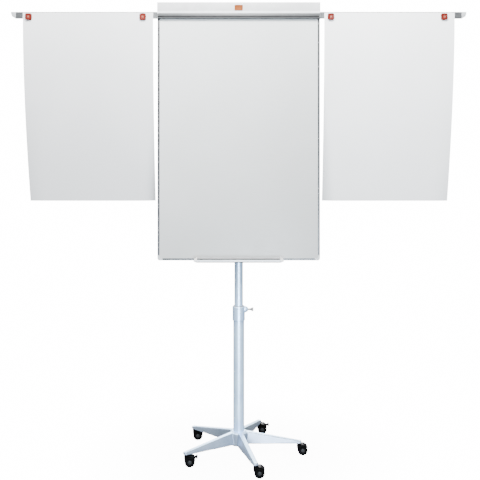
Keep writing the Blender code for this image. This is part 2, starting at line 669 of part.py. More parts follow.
def make_caster(number, angle, paints):
    spot = (CASTER_CIRCLE * math.cos(angle), CASTER_CIRCLE * math.sin(angle), 0)
    caster = make_empty(f"caster_{number}", spot)
    axle = (CASTER_TRAIL, AXLE_HEIGHT)

    stem = bmesh.new()
    add_turned(stem, [(0, 0.0362), (0.0050, 0.0362), (0.0050, HOOD_TOP + GAP), (0.0080, HOOD_TOP + GAP),
                      (0.0080, 0.0490), (0.0050, 0.0490), (0.0050, 0.0582), (0, 0.0582)], 12)
    make_object(f"caster_stem_{number}", stem, paints["steel"], parent=caster, smooth=True)

    # Between the wheels a web carries the axle; above them a curved cover joins it
    web = bmesh.new()
    outline = arc(axle, HOOD_INNER + 0.0010, 20, 172, 8)
    outline += arc(axle, 0.0075, 200, 340, 5)
    add_prism(web, outline, -0.0052, 0.0052, "XZ")
    hood = make_object(f"caster_hood_{number}", web, paints["hood"], parent=caster, smooth=True)
    cover = bmesh.new()
    add_prism(cover, arc(axle, HOOD_OUTER, 28, 168, 10) + [axle], -HOOD_HALF, HOOD_HALF, "XZ")
    combine(hood, "UNION", cover)
    boss = bmesh.new()
    add_cylinder(boss, 0.0088, 0.0300, HOOD_TOP, 14)
    combine(hood, "UNION", boss)
    clear = bmesh.new()
    turned_wheel = Matrix.Translation((axle[0], 0, axle[1])) @ AXIS_Y
    add_cylinder(clear, HOOD_INNER, 0.0053, 0.030, 28, turned_wheel)
    add_cylinder(clear, HOOD_INNER, -0.030, -0.0053, 28, turned_wheel)
    add_cylinder(clear, 0.0053, 0.0358, 0.060, 12)
    combine(hood, "DIFFERENCE", clear)
    stubs = bmesh.new()
    add_cylinder(stubs, 0.0029, -WHEEL_OUTER + 0.0020, WHEEL_OUTER - 0.0020, 10, turned_wheel)
    combine(hood, "UNION", stubs)

    for side_name, side in (("front", -1), ("back", 1)):
        wheel = bmesh.new()
        middle = (WHEEL_INNER + WHEEL_OUTER) / 2
        half = (WHEEL_OUTER - WHEEL_INNER) / 2
        profile = [
            (0.0032, -half), (WHEEL_RADIUS, -half), (WHEEL_RADIUS, half - 0.0040), (WHEEL_RADIUS - 0.0038, half),
            (0.0150, half), (0.0142, half - 0.0012), (0.0032, half - 0.0012),
        ]
        place = Matrix.Translation((axle[0], side * middle, axle[1])) @ AXIS_Y
        if side < 0:
            place = place @ Matrix.Rotation(math.pi, 4, "X")
        add_turned(wheel, profile, WHEEL_STEPS, place, math.pi / 2 + math.pi / WHEEL_STEPS)
        make_object(f"caster_wheel_{number}_{side_name}", wheel, paints["wheel"],
                    origin=(axle[0], side * middle, axle[1]), parent=caster, smooth=True)

    if number in BRAKED:
        make_brake(number, axle, caster, hood, paints["pedal"])


def make_brake(number, axle, caster, hood, material):
    # A small lever behind the hood, on a pin through a lug of the hood
    pivot = (axle[0] + PEDAL_REACH * math.cos(PEDAL_ANGLE), axle[1] + PEDAL_REACH * math.sin(PEDAL_ANGLE))
    place = Matrix.Translation((pivot[0], 0, pivot[1])) @ AXIS_Y
    lug = bmesh.new()
    root = (axle[0] + (HOOD_OUTER - 0.0008) * math.cos(PEDAL_ANGLE),
            axle[1] + (HOOD_OUTER - 0.0008) * math.sin(PEDAL_ANGLE))
    across = (math.sin(PEDAL_ANGLE) * 0.0022, -math.cos(PEDAL_ANGLE) * 0.0022)
    turn = math.degrees(PEDAL_ANGLE)
    outline = [(root[0] - across[0], root[1] - across[1]), (root[0] + across[0], root[1] + across[1])]
    outline += arc(pivot, 0.0022, turn - 90, turn + 90, 8)
    add_prism(lug, outline, -0.0034, 0.0034, "XZ")
    combine(hood, "UNION", lug)
    pin = bmesh.new()
    add_cylinder(pin, 0.0010, -0.0082, 0.0082, 12, place)
    combine(hood, "UNION", pin)

    lift = math.radians(15)
    along = Vector((math.cos(lift), math.sin(lift)))
    up = Vector((-math.sin(lift), math.cos(lift)))
    middle = Vector(pivot)

    def plan(distance, height):
        point = middle + along * distance + up * height
        return (point.x, point.y)

    blade = bmesh.new()
    add_prism(blade, [plan(0.0032, -0.0013), plan(0.0105, -0.0020), plan(0.0115, -0.0008), plan(0.0115, 0.0016),
                      plan(0.0032, 0.0020)], -0.0085, 0.0085, "XZ")
    pedal = make_object(f"brake_pedal_{number}", blade, material, origin=(pivot[0], 0, pivot[1]), parent=caster)
    ears = bmesh.new()
    ear = arc(pivot, 0.0024, 90 + 15, 270 + 15, 8) + [plan(0.0042, -0.0012), plan(0.0042, 0.0019)]
    add_prism(ears, ear, 0.0038, 0.0084, "XZ")
    add_prism(ears, ear, -0.0084, -0.0038, "XZ")
    combine(pedal, "UNION", ears)
    bore = bmesh.new()
    add_cylinder(bore, 0.0013, -0.0120, 0.0120, 12, place)
    combine(pedal, "DIFFERENCE", bore)


def main():
    for item in list(bpy.data.objects):
        bpy.data.objects.remove(item, do_unlink=True)

    silver = make_material("silver_paint", (0.66, 0.71, 0.79), 0.3, 0.35)
    aluminium = make_material("frame_aluminium", (0.62, 0.63, 0.64), 0.9, 0.35)
    white = make_material("white_paint", (0.80, 0.80, 0.80), 0, 0.35)
    grey_plastic = make_material("grey_plastic", (0.45, 0.46, 0.47), 0, 0.5)
    light_plastic = make_material("light_plastic", (0.72, 0.73, 0.74), 0, 0.45)
    steel = make_material("bare_steel", (0.50, 0.51, 0.53), 1, 0.35)
    board_white = make_material("board_enamel", (0.76, 0.77, 0.76), 0, 0.2)
    core = make_material("core_board", (0.45, 0.36, 0.25), 0, 0.9)
    back = make_material("back_metal", (0.55, 0.56, 0.57), 0.6, 0.45)
    paper = make_material("paper", (0.84, 0.84, 0.83), 0, 0.85)
    orange = make_material("orange_plastic", (0.85, 0.20, 0.05), 0, 0.4)
    badge = make_material("badge_orange", (0.87, 0.22, 0.03), 0, 0.4)
    casters = {
        "steel": steel,
        "hood": make_material("caster_black", (0.012, 0.012, 0.013), 0, 0.4),
        "wheel": make_material("wheel_black", (0.02, 0.02, 0.021), 0, 0.55),
        "pedal": make_material("pedal_black", (0.012, 0.012, 0.013), 0, 0.35),
    }

    make_star_base(silver)
    make_base_bolt(steel)
    make_lower_tube(silver)
    make_collar(silver)
    make_collar_bush(light_plastic)
    make_clamp_knob(make_material("knob_grey", (0.30, 0.30, 0.29), 0.2, 0.45))

    mast = make_empty("mast", (0, 0, 0))
    make_upper_tube(silver, mast)
    make_saddle("lower_saddle", 0.965, grey_plastic, mast)
    make_saddle("upper_saddle", 1.740, grey_plastic, mast)
    make_panels(mast, board_white, core, back)
    make_frame(mast, aluminium, light_plastic)
    make_top_rail(mast, aluminium)
    make_tray(mast, aluminium, white)

    clamp = make_empty("clamp", (0, 0, 0))
    clamp.parent = mast
    make_header(clamp, white, badge, grey_plastic)

    for side_name, side in SIDES.items():
        make_pad_hook(side_name, side, mast, light_plastic)
        arm = make_empty(f"arm_{side_name}", (0, 0, 0))
        arm.parent = mast
        make_side_arm(side_name, side, arm, mast, aluminium, grey_plastic)
        make_sheet(side_name, side, arm, paper)
        for place_name, distance in zip(("inner", "outer"), MAGNETS[side_name]):
            make_magnet(f"magnet_{side_name}_{place_name}", side * distance, arm, orange)

    for number, angle in enumerate(STAR_ANGLES):
        make_caster(number, angle, casters)


main()
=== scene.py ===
# Looks of the mobile flip chart easel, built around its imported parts. Metres, +Z up, the board faces -Y.
import math

import bpy
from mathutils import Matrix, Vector


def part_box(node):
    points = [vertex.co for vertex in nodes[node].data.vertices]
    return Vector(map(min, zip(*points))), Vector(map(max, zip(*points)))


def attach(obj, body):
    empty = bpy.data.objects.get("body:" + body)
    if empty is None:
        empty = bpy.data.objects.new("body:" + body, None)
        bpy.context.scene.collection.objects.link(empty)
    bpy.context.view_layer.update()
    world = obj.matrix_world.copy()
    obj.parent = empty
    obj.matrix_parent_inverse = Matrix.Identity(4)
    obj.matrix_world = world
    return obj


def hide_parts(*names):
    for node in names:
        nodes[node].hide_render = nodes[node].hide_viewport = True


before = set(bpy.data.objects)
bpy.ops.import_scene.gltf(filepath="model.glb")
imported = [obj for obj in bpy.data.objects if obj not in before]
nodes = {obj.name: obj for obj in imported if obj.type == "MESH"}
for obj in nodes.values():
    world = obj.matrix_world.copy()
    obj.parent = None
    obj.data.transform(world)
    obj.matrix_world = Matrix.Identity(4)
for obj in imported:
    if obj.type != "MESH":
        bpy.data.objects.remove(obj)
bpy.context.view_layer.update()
sides = {"left": -1, "right": 1}
up = Vector((0, 0, 1))

# The studio: camera, light and floor

studio = {
    "cameraPlace": (0.0060, -3.165, 1.222),
    "cameraTilt": 90.46,  # degrees, a little above level
    "lens": 54.04,
    "shift": (-0.0002, -0.15),
    "backdropLight": 20.0,
    "roomLight": {"base": 0.45, "front": 1.05, "above": 1.5, "below": 0.05},
    "floorRadius": 1.2,
    "floorFade": (0.30, 0.75, 0.80, 1.0),  # radii, and how clear the floor is at each
    "lampTint": (0.78, 0.89, 1.0),
    "lamps": {  # place, aim, width and height, watts
        "keyLamp": ((-0.10, -1.90, 3.30), (0.0, 0.0, 1.60), (1.5, 1.0), 315),
        "stripLamp": ((0.20, -3.00, 0.30), (0.0, 0.0, 0.60), (0.8, 0.9), 165),
        "backLamp": ((0.0, 3.00, 1.60), (0.0, 0.0, 0.30), (1.6, 1.6), 110),
    },
}


class Link:
    # One output of a material's nodes; sums written on it add Math nodes
    def __init__(self, paint, socket):
        self.paint = paint
        self.socket = socket

    def sum(self, operation, other, turned=False):
        first, second = (other, self) if turned else (self, other)
        return self.paint.node("ShaderNodeMath", {"operation": operation}, {0: first, 1: second})

    def __add__(self, other):
        return self.sum("ADD", other)

    def __radd__(self, other):
        return self.sum("ADD", other, True)

    def __sub__(self, other):
        return self.sum("SUBTRACT", other)

    def __rsub__(self, other):
        return self.sum("SUBTRACT", other, True)

    def __mul__(self, other):
        return self.sum("MULTIPLY", other)

    def __rmul__(self, other):
        return self.sum("MULTIPLY", other, True)


class Paint:
    # One material and what its nodes are made with
    def __init__(self, name):
        self.material = bpy.data.materials.new(name)
        self.material.use_nodes = True
        self.tree = self.material.node_tree
        self.tree.nodes.clear()
        self.place = self.node("ShaderNodeTexCoord", out="Object")

    def node(self, kind, settings=None, values=None, out=0):
        made = self.tree.nodes.new(kind)
        for key, value in (settings or {}).items():
            if key == "stops":
                while len(made.color_ramp.elements) < len(value):
                    made.color_ramp.elements.new(0.5)
                for stop, (position, grey) in zip(made.color_ramp.elements, value):
                    stop.position = position
                    stop.color = (grey, grey, grey, 1)
            else:
                setattr(made, key, value)
        for key, value in (values or {}).items():
            if isinstance(value, Link):
                self.tree.links.new(value.socket, made.inputs[key])
            else:
                made.inputs[key].default_value = value
        return Link(self, made.outputs[out])

    def grain(self, size, detail=2.0, stretch=(1, 1, 1), shift=(0, 0, 0)):
        # Noise whose lumps are about size metres across, drawn out along an axis by stretch
        scale = [1 / (size * s) for s in stretch]
        spot = self.node("ShaderNodeMapping", {}, {"Vector": self.place, "Scale": scale, "Location": shift})
        return self.node("ShaderNodeTexNoise", {}, {"Vector": spot, "Scale": 1.0, "Detail": detail})

    def span(self, value, low, high, first, last):
        return self.node("ShaderNodeMapRange", {}, {
            "Value": value, "From Min": low, "From Max": high, "To Min": first, "To Max": last,
        })

    def axis(self, name):
        return self.node("ShaderNodeSeparateXYZ", {}, {"Vector": self.place}, out=name)

    def blend(self, share, first, second):
        values = {0: share}
        for slot, colour in ((6, first), (7, second)):
            values[slot] = colour if isinstance(colour, Link) else (*colour, 1)
        return self.node("ShaderNodeMix", {"data_type": "RGBA"}, values, out=2)

    def bump(self, height, depth):
        return self.node("ShaderNodeBump", {}, {"Height": height, "Distance": depth, "Strength": 1.0})

    def finish(self, **values):
        sockets = {
            "colour": "Base Color", "roughness": "Roughness", "metal": "Metallic", "normal": "Normal",
            "coat": "Coat Weight", "coatRoughness": "Coat Roughness", "sheen": "Sheen Weight",
            "specular": "Specular IOR Level", "glow": "Emission Color", "glowStrength": "Emission Strength",
            "through": "Subsurface Weight",
        }
        given = {}
        for key, value in values.items():
            given[sockets[key]] = (*value, 1) if isinstance(value, tuple) else value
        shader = self.node("ShaderNodeBsdfPrincipled", {}, given)
        self.close(shader)
        return self.material

    def close(self, shader):
        end = self.tree.nodes.new("ShaderNodeOutputMaterial")
        self.tree.links.new(shader.socket, end.inputs["Surface"])


def setStudio():
    world = bpy.data.worlds.new("whiteRoom")
    bpy.context.scene.world = world
    world.use_nodes = True
    tree = world.node_tree
    tree.nodes.clear()
    new, link = tree.nodes.new, tree.links.new
    seen, room, mix, end = (new("ShaderNodeBackground"), new("ShaderNodeBackground"),
                            new("ShaderNodeMixShader"), new("ShaderNodeOutputWorld"))
    seen.inputs["Strength"].default_value = studio["backdropLight"]
    split = new("ShaderNodeSeparateXYZ")
    link(new("ShaderNodeNewGeometry").outputs["Incoming"], split.inputs[0])
    light = studio["roomLight"]
    front, above = new("ShaderNodeMapRange"), new("ShaderNodeMapRange")
    total, low, lit = new("ShaderNodeMath"), new("ShaderNodeMapRange"), new("ShaderNodeMath")
    # The incoming direction points back at the object, so its front is +Y and its top is -Z
    for spread, socket, ends in ((front, "Y", (-0.1, 0.9, light["base"], light["base"] + light["front"])),
                                 (above, "Z", (0.0, -1.0, 0.0, light["above"])),
                                 (low, "Z", (-0.05, 0.12, 1.0, light["below"]))):
        link(split.outputs[socket], spread.inputs["Value"])
        for place, value in zip(("From Min", "From Max", "To Min", "To Max"), ends):
            spread.inputs[place].default_value = value
    total.operation, lit.operation = "ADD", "MULTIPLY"
    link(front.outputs[0], total.inputs[0])
    link(above.outputs[0], total.inputs[1])
    link(total.outputs[0], lit.inputs[0])
    link(low.outputs[0], lit.inputs[1])
    link(lit.outputs[0], room.inputs["Strength"])
    link(new("ShaderNodeLightPath").outputs["Is Camera Ray"], mix.inputs[0])
    link(room.outputs[0], mix.inputs[1])
    link(seen.outputs[0], mix.inputs[2])
    link(mix.outputs[0], end.inputs["Surface"])

    tilt = math.radians(studio["cameraTilt"])
    bpy.ops.object.camera_add(location=studio["cameraPlace"], rotation=(tilt, 0, 0))
    camera = bpy.context.object
    camera.name = "studioCamera"
    camera.data.lens = studio["lens"]
    camera.data.shift_x, camera.data.shift_y = studio["shift"]
    bpy.context.scene.camera = camera

    for name, (place, aim, size, watts) in studio["lamps"].items():
        bpy.ops.object.light_add(type="AREA", location=place)
        lamp = bpy.context.object
        lamp.name = name
        lamp.data.shape = "RECTANGLE"
        lamp.data.size, lamp.data.size_y = size
        lamp.data.energy = watts
        lamp.data.color = studio["lampTint"] if name == "stripLamp" else (1, 1, 1)
        lamp.rotation_euler = (Vector(aim) - Vector(place)).to_track_quat("-Z", "Y").to_euler()

    bpy.ops.mesh.primitive_circle_add(vertices=96, radius=studio["floorRadius"], fill_type="NGON",
                                      location=(0, 0, -0.0002))
    floor = settle(named("studioFloor"))
    pale = Paint("paleFloor")
    distance = pale.node("ShaderNodeVectorMath", {"operation": "LENGTH"}, {0: pale.place}, out="Value")
    fade = pale.span(distance, *studio["floorFade"])
    cloud = pale.grain(0.30, 3.0)
    flat = pale.node("ShaderNodeBsdfPrincipled", {}, {
        "Base Color": pale.blend(cloud, (0.93, 0.93, 0.93), (0.96, 0.96, 0.96)), "Roughness": 0.75,
        "Specular IOR Level": 0.2,
    })
    clear = pale.node("ShaderNodeBsdfTransparent")
    pale.close(pale.node("ShaderNodeMixShader", {}, {0: fade, 1: flat, 2: clear}))
    floor.data.materials.append(pale.material)
    print("studio set")


# Modelling moves, each one as by hand


def takeOnly(piece):
    bpy.ops.object.select_all(action="DESELECT")
    piece.select_set(True)
    bpy.context.view_layer.objects.active = piece


def named(name):
    piece = bpy.context.object
    piece.name = name
    piece.data.name = name
    return piece


def settle(piece):
    takeOnly(piece)
    bpy.ops.object.transform_apply(location=True, rotation=True, scale=True)
    return piece


def pick(piece, kind, test):
    # Goes into edit mode with the vertices, edges or faces that pass the test selected
    takeOnly(piece)
    bpy.ops.object.mode_set(mode="EDIT")
    bpy.ops.mesh.select_mode(type=kind)
    bpy.ops.mesh.select_all(action="DESELECT")
    bpy.ops.object.mode_set(mode="OBJECT")
    mesh = piece.data
    at = [vertex.co.copy() for vertex in mesh.vertices]
    if kind == "FACE":
        for face in mesh.polygons:
            face.select = test(face.center, face.normal)
    elif kind == "EDGE":
        for edge in mesh.edges:
            a, b = at[edge.vertices[0]], at[edge.vertices[1]]
            edge.select = test((a + b) / 2, (b - a).normalized())
    else:
        for vertex in mesh.vertices:
            vertex.select = test(vertex.co)
    bpy.ops.object.mode_set(mode="EDIT")


def leave():
    bpy.ops.object.mode_set(mode="OBJECT")


def mend(piece):
    # Merges doubles and points every face outwards
    takeOnly(piece)
    bpy.ops.object.mode_set(mode="EDIT")
    bpy.ops.mesh.select_all(action="SELECT")
    bpy.ops.mesh.remove_doubles(threshold=0.00001)
    bpy.ops.mesh.normals_make_consistent(inside=False)
    leave()
    return piece


def drawLine(name, points, closed):
    # A tiny plane is merged to one vertex, which is extruded from point to point
    bpy.ops.object.select_all(action="DESELECT")
    bpy.ops.mesh.primitive_plane_add(size=0.001, location=points[0])
    piece = settle(named(name))
    bpy.ops.object.mode_set(mode="EDIT")
    bpy.ops.mesh.select_mode(type="VERT")
    bpy.ops.mesh.select_all(action="SELECT")
    bpy.ops.mesh.merge(type="CENTER")
    for here, there in zip(points, points[1:]):
        shift = Vector(there) - Vector(here)
        bpy.ops.mesh.extrude_region_move(TRANSFORM_OT_translate={"value": tuple(shift)})
    leave()
    if closed:
        last = len(piece.data.vertices) - 1
        for number, vertex in enumerate(piece.data.vertices):
            vertex.select = number in (0, last)
        bpy.ops.object.mode_set(mode="EDIT")
        bpy.ops.mesh.edge_face_add()
        leave()
    return piece


layouts = {
    "XY": (lambda u, v, w: (u, v, w), Vector((0, 0, 1))),
    "XZ": (lambda u, v, w: (u, w, v), Vector((0, 1, 0))),
    "YZ": (lambda u, v, w: (w, u, v), Vector((1, 0, 0))),
}


def solid(name, outline, low, high, plane):
    # A drawn outline is filled and given its depth
    lay, along = layouts[plane]
    piece = drawLine(name, [lay(u, v, low) for u, v in outline], True)
    bpy.ops.object.mode_set(mode="EDIT")
    bpy.ops.mesh.select_all(action="SELECT")
    bpy.ops.mesh.edge_face_add()
    bpy.ops.mesh.extrude_region_move(TRANSFORM_OT_translate={"value": tuple(along * (high - low))})
    leave()
    return mend(piece)


def turned(name, profile, centre=(0, 0, 0), axis="Z", steps=48, closed=False):
    # A drawn profile of (radius, height) points is spun about an axis
    spot = Vector(centre)
    lay = {"Z": lambda r, h: (r, 0, h), "X": lambda r, h: (h, 0, r), "Y": lambda r, h: (r, h, 0)}[axis]
    turn = {"Z": (0, 0, 1), "X": (1, 0, 0), "Y": (0, 1, 0)}[axis]
    piece = drawLine(name, [spot + Vector(lay(r, h)) for r, h in profile], closed)
    bpy.ops.object.mode_set(mode="EDIT")
    bpy.ops.mesh.select_all(action="SELECT")
    bpy.ops.mesh.spin(steps=steps, angle=2 * math.pi, center=tuple(spot), axis=turn)
    leave()
    return mend(piece)


def block(name, low, high):
    low, high = Vector(low), Vector(high)
    bpy.ops.object.select_all(action="DESELECT")
    bpy.ops.mesh.primitive_cube_add(size=1, location=(low + high) / 2, scale=high - low)
    return settle(named(name))


def rod(name, radius, start, end, steps=32):
    start, end = Vector(start), Vector(end)
    bpy.ops.object.select_all(action="DESELECT")
    bpy.ops.mesh.primitive_cylinder_add(
        vertices=steps, radius=radius, depth=(end - start).length, location=(start + end) / 2,
        rotation=up.rotation_difference(end - start).to_euler(),
    )
    return settle(named(name))


def moveCorner(piece, near, there):
    # The vertex nearest to a point goes to another
    corners = [vertex.co.copy() for vertex in piece.data.vertices]
    spot = min(corners, key=lambda co: (co - Vector(near)).length)
    pick(piece, "VERT", lambda co: (co - spot).length < 1e-6)
    bpy.ops.transform.translate(value=tuple(Vector(there) - spot))
    leave()


def modify(piece, kind, **settings):
    takeOnly(piece)
    modifier = piece.modifiers.new(kind.title(), kind)
    for key, value in settings.items():
        setattr(modifier, key, value)
    bpy.ops.object.modifier_apply(modifier=modifier.name)
    return piece


def soften(piece, width, segments=2, angle=30):
    modify(piece, "BEVEL", width=width, segments=segments, limit_method="ANGLE",
           angle_limit=math.radians(angle), harden_normals=False)
    return smooth(piece)


def smooth(piece, angle=35):
    takeOnly(piece)
    bpy.ops.object.shade_smooth_by_angle(angle=math.radians(angle))
    return piece


def merge(piece, other, operation="UNION", crossing=False):
    modify(piece, "BOOLEAN", operation=operation, object=other, solver="EXACT", use_self=crossing)
    bpy.data.objects.remove(other)
    return piece


def drill(piece, *hole):
    return merge(piece, rod("hole", *hole), "DIFFERENCE")


def roundEdges(piece, width, segments, test):
    pick(piece, "EDGE", test)
    bpy.ops.mesh.bevel(offset=width, segments=segments, affect="EDGES")
    leave()
    return piece


def recast(piece, voxel, rounds, keep):
    # The joined shape becomes one skin with the soft inner corners of a casting
    modify(piece, "REMESH", mode="VOXEL", voxel_size=voxel, adaptivity=0.0)
    modify(piece, "SMOOTH", factor=0.5, iterations=rounds)
    modify(piece, "DECIMATE", decimate_type="COLLAPSE", ratio=keep)
    return smooth(piece, 60)


def copyTo(piece, name, shift):
    takeOnly(piece)
    bpy.ops.object.duplicate_move(TRANSFORM_OT_translate={"value": tuple(shift)})
    return settle(named(name))


def arc(centre, radius, start, end, steps):
    # Points on an arc, both ends included, angles in degrees
    angles = [math.radians(start + (end - start) * k / steps) for k in range(steps + 1)]
    return [(centre[0] + radius * math.cos(a), centre[1] + radius * math.sin(a)) for a in angles]


def dress(piece, body, slot, material, *replaced):
    piece.data.materials.clear()
    piece.data.materials.append(material)
    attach(piece, body)
    if replaced:
        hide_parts(*replaced)
    return piece


def addSecond(piece, material, test):
    # The faces that pass the test take a second material
    piece.data.materials.append(material)
    for face in piece.data.polygons:
        if test(face.center, face.normal):
            face.material_index = len(piece.data.materials) - 1


# Finishes

tints = {  # a darker and a lighter tone, which each finish mixes
    "silver": ((0.46, 0.66, 1.0), (0.62, 0.84, 1.0)),
    "silverShade": ((0.20, 0.26, 0.35), (0.32, 0.39, 0.50)),
    "silverEdgeShade": ((0.08, 0.105, 0.13), (0.13, 0.16, 0.19)),
    "aluminium": ((0.045, 0.046, 0.048), (0.085, 0.087, 0.09)),
    "upright": ((0.050, 0.052, 0.054), (0.085, 0.087, 0.09)),
    "arm": ((0.095, 0.10, 0.103), (0.15, 0.157, 0.162)),
    "trayFace": ((0.46, 0.47, 0.48), (0.60, 0.61, 0.62)),
    "steel": ((0.32, 0.33, 0.34), (0.55, 0.56, 0.57)),
    "zinc": ((0.38, 0.39, 0.40), (0.52, 0.53, 0.54)),
    "enamel": ((0.285, 0.288, 0.280), (0.66, 0.67, 0.665)),
    "core": ((0.20, 0.16, 0.11), (0.42, 0.35, 0.26)),
    "paper": ((0.57, 0.57, 0.57), (0.90, 0.90, 0.895)),
    "header": ((0.52, 0.52, 0.52), (0.60, 0.60, 0.60)),
    "headerLipHighlight": ((0.82, 0.82, 0.82), (0.92, 0.92, 0.92)),
    "white": ((0.60, 0.60, 0.60), (0.70, 0.70, 0.70)),
    "pale": ((0.34, 0.35, 0.355), (0.44, 0.45, 0.455)),
    "clamp": ((0.050, 0.053, 0.054), (0.068, 0.072, 0.074)),
    "clampFootShade": ((0.040, 0.042, 0.043), (0.056, 0.058, 0.060)),
    "grooveAndUndersideShade": ((0.030, 0.030, 0.031), (0.045, 0.045, 0.047)),
    "saddle": ((0.20, 0.21, 0.22), (0.27, 0.28, 0.29)),
    "bush": ((0.13, 0.14, 0.16), (0.20, 0.21, 0.23)),
    "knob": ((0.13, 0.13, 0.125), (0.20, 0.20, 0.195)),
    "badge": ((0.15, 0.034, 0.001), (0.20, 0.048, 0.001)),
    "magnet": ((0.085, 0.006, 0.003), (0.120, 0.010, 0.005)),
    "magnetCentre": ((0.22, 0.06, 0.04), (0.28, 0.085, 0.055)),
    "black": ((0.0005, 0.0005, 0.0006), (0.0016, 0.0016, 0.0018)),
    "wheelDisc": ((0.012, 0.013, 0.014), (0.022, 0.023, 0.025)),
}
hoodDust = (0.004, (0.03, 0.03, 0.03))  # how high it reaches, and its colour
wheelDust = (0.004, (0.03, 0.028, 0.026))


def silverPaint(name, along=(1, 1, 1), tint="silver"):
    # Cool silver powder coat: metal flakes under a soft orange peel, rubbed along the tube
    paint = Paint(name)
    flakes = paint.grain(0.0006, 1.0)
    clouds = paint.grain(0.09, 3.0)
    rubbed = paint.grain(0.004, 3.0, along)
    share = paint.span(flakes * 0.45 + clouds * 0.35 + rubbed * 0.2, 0.40, 0.60, 0.0, 1.0)
    return paint.finish(
        colour=paint.blend(share, *tints[tint]),
        roughness=paint.span(clouds + rubbed * 0.5, 0.6, 0.9, 0.33, 0.43),
        metal=0.60, specular=0.35, coat=0.08, coatRoughness=0.25,
        normal=paint.bump(paint.grain(0.0025, 2.0) + flakes * 0.3, 0.00008),
    )


def brushedMetal(name, tint, along=(1, 1, 1), rough=(0.28, 0.42), metal=0.85):
    # Drawn metal with fine lines along its length
    paint = Paint(name)
    lines = paint.grain(0.00045, 3.0, along)
    clouds = paint.grain(0.05, 3.0)
    share = paint.span(lines * 0.6 + clouds * 0.4, 0.38, 0.62, 0.0, 1.0)
    return paint.finish(
        colour=paint.blend(share, *tints[tint]), metal=metal,
        roughness=paint.span(lines, 0.35, 0.65, *rough), normal=paint.bump(lines, 0.00003),
    )


def moulded(name, tint, rough=(0.38, 0.52), texture=0.0009, depth=0.00006, dust=None, **more):
    # Moulded plastic or powder coat: a fine skin texture over slow changes of tone
    paint = Paint(name)
    skin = paint.grain(texture, 2.0)
    clouds = paint.grain(0.03, 3.0)
    colour = paint.blend(paint.span(skin * 0.4 + clouds * 0.6, 0.38, 0.62, 0.0, 1.0), *tints[tint])
    if dust:
        reach, tone = dust
        height = paint.axis("Z") + paint.grain(0.006, 3.0) * reach
        share = paint.span(height, reach * 1.6, reach * 0.5, 0.0, 0.35)
        colour = paint.blend(share, colour, tone)
    return paint.finish(colour=colour, roughness=paint.span(clouds + skin * 0.3, 0.5, 0.8, *rough),
                        normal=paint.bump(skin, depth), **more)


def boardEnamel():
    # Glossy steel enamel: barely uneven, with the faint marks of wiping; painted light makes it lighter
    # towards the top and the left
    paint = Paint("boardEnamel")
    clouds = paint.grain(0.35, 2.0)
    wiped = paint.grain(0.006, 4.0, (9, 1, 1))
    # Painted light: the colour grows lighter towards the board's top and towards its left side
    high = paint.span(paint.axis("Z"), 0.85, 1.90, 0.0, 0.80)
    paintedLeftLight = paint.span(paint.axis("X"), 0.35, -0.35, 0.0, 0.20)
    share = high + paintedLeftLight + (clouds - 0.5) * 0.25
    return paint.finish(
        colour=paint.blend(share, *tints["enamel"]),
        roughness=paint.span(wiped, 0.35, 0.65, 0.26, 0.34), specular=0.20,
        normal=paint.bump(paint.grain(0.0030, 2.0) + clouds * 2.0, 0.00003),
    )


def paperSheet():
    # Matt paper with its fibres and a slow unevenness; painted light makes it lighter towards the top and
    # towards +X
    paint = Paint("paper")
    fibres = paint.grain(0.0007, 3.0, (1, 1, 2.2))
    clouds = paint.grain(0.22, 2.0)
    # Painted light: the colour grows lighter towards +X and towards the top
    sides = paint.span(paint.axis("X"), -0.60, 0.60, 0.0, 0.65)
    height = paint.span(paint.axis("Z"), 1.10, 1.90, -0.12, 0.33)
    share = height + sides + (clouds - 0.5) * 0.2 + (fibres - 0.5) * 0.3
    return paint.finish(
        colour=paint.blend(share, *tints["paper"]),
        roughness=paint.span(fibres, 0.3, 0.7, 0.78, 0.9), specular=0.25,
        normal=paint.bump(fibres + clouds * 3.0, 0.00010),
    )


def coreBoard():
    # The grey-brown edge of a pressed board
    paint = Paint("coreBoard")
    fibres = paint.grain(0.0018, 4.0, (3, 1, 3))
    return paint.finish(
        colour=paint.blend(fibres, *tints["core"]),
        roughness=paint.span(fibres, 0.3, 0.7, 0.8, 0.95), normal=paint.bump(fibres, 0.0003),
    )


def backMetal():
    # Galvanised sheet: pale flakes of zinc on grey
    paint = Paint("backMetal")
    cells = paint.node("ShaderNodeTexVoronoi", {"feature": "F1"}, {"Vector": paint.place, "Scale": 85.0},
                       out="Color")
    grey = paint.node("ShaderNodeRGBToBW", {}, {"Color": cells})
    clouds = paint.grain(0.12, 3.0)
    share = grey * 0.6 + clouds * 0.4
    return paint.finish(
        colour=paint.blend(share, *tints["zinc"]), metal=0.55,
        roughness=paint.span(share, 0.3, 0.7, 0.34, 0.48), normal=paint.bump(clouds, 0.0003),
    )


setStudio()

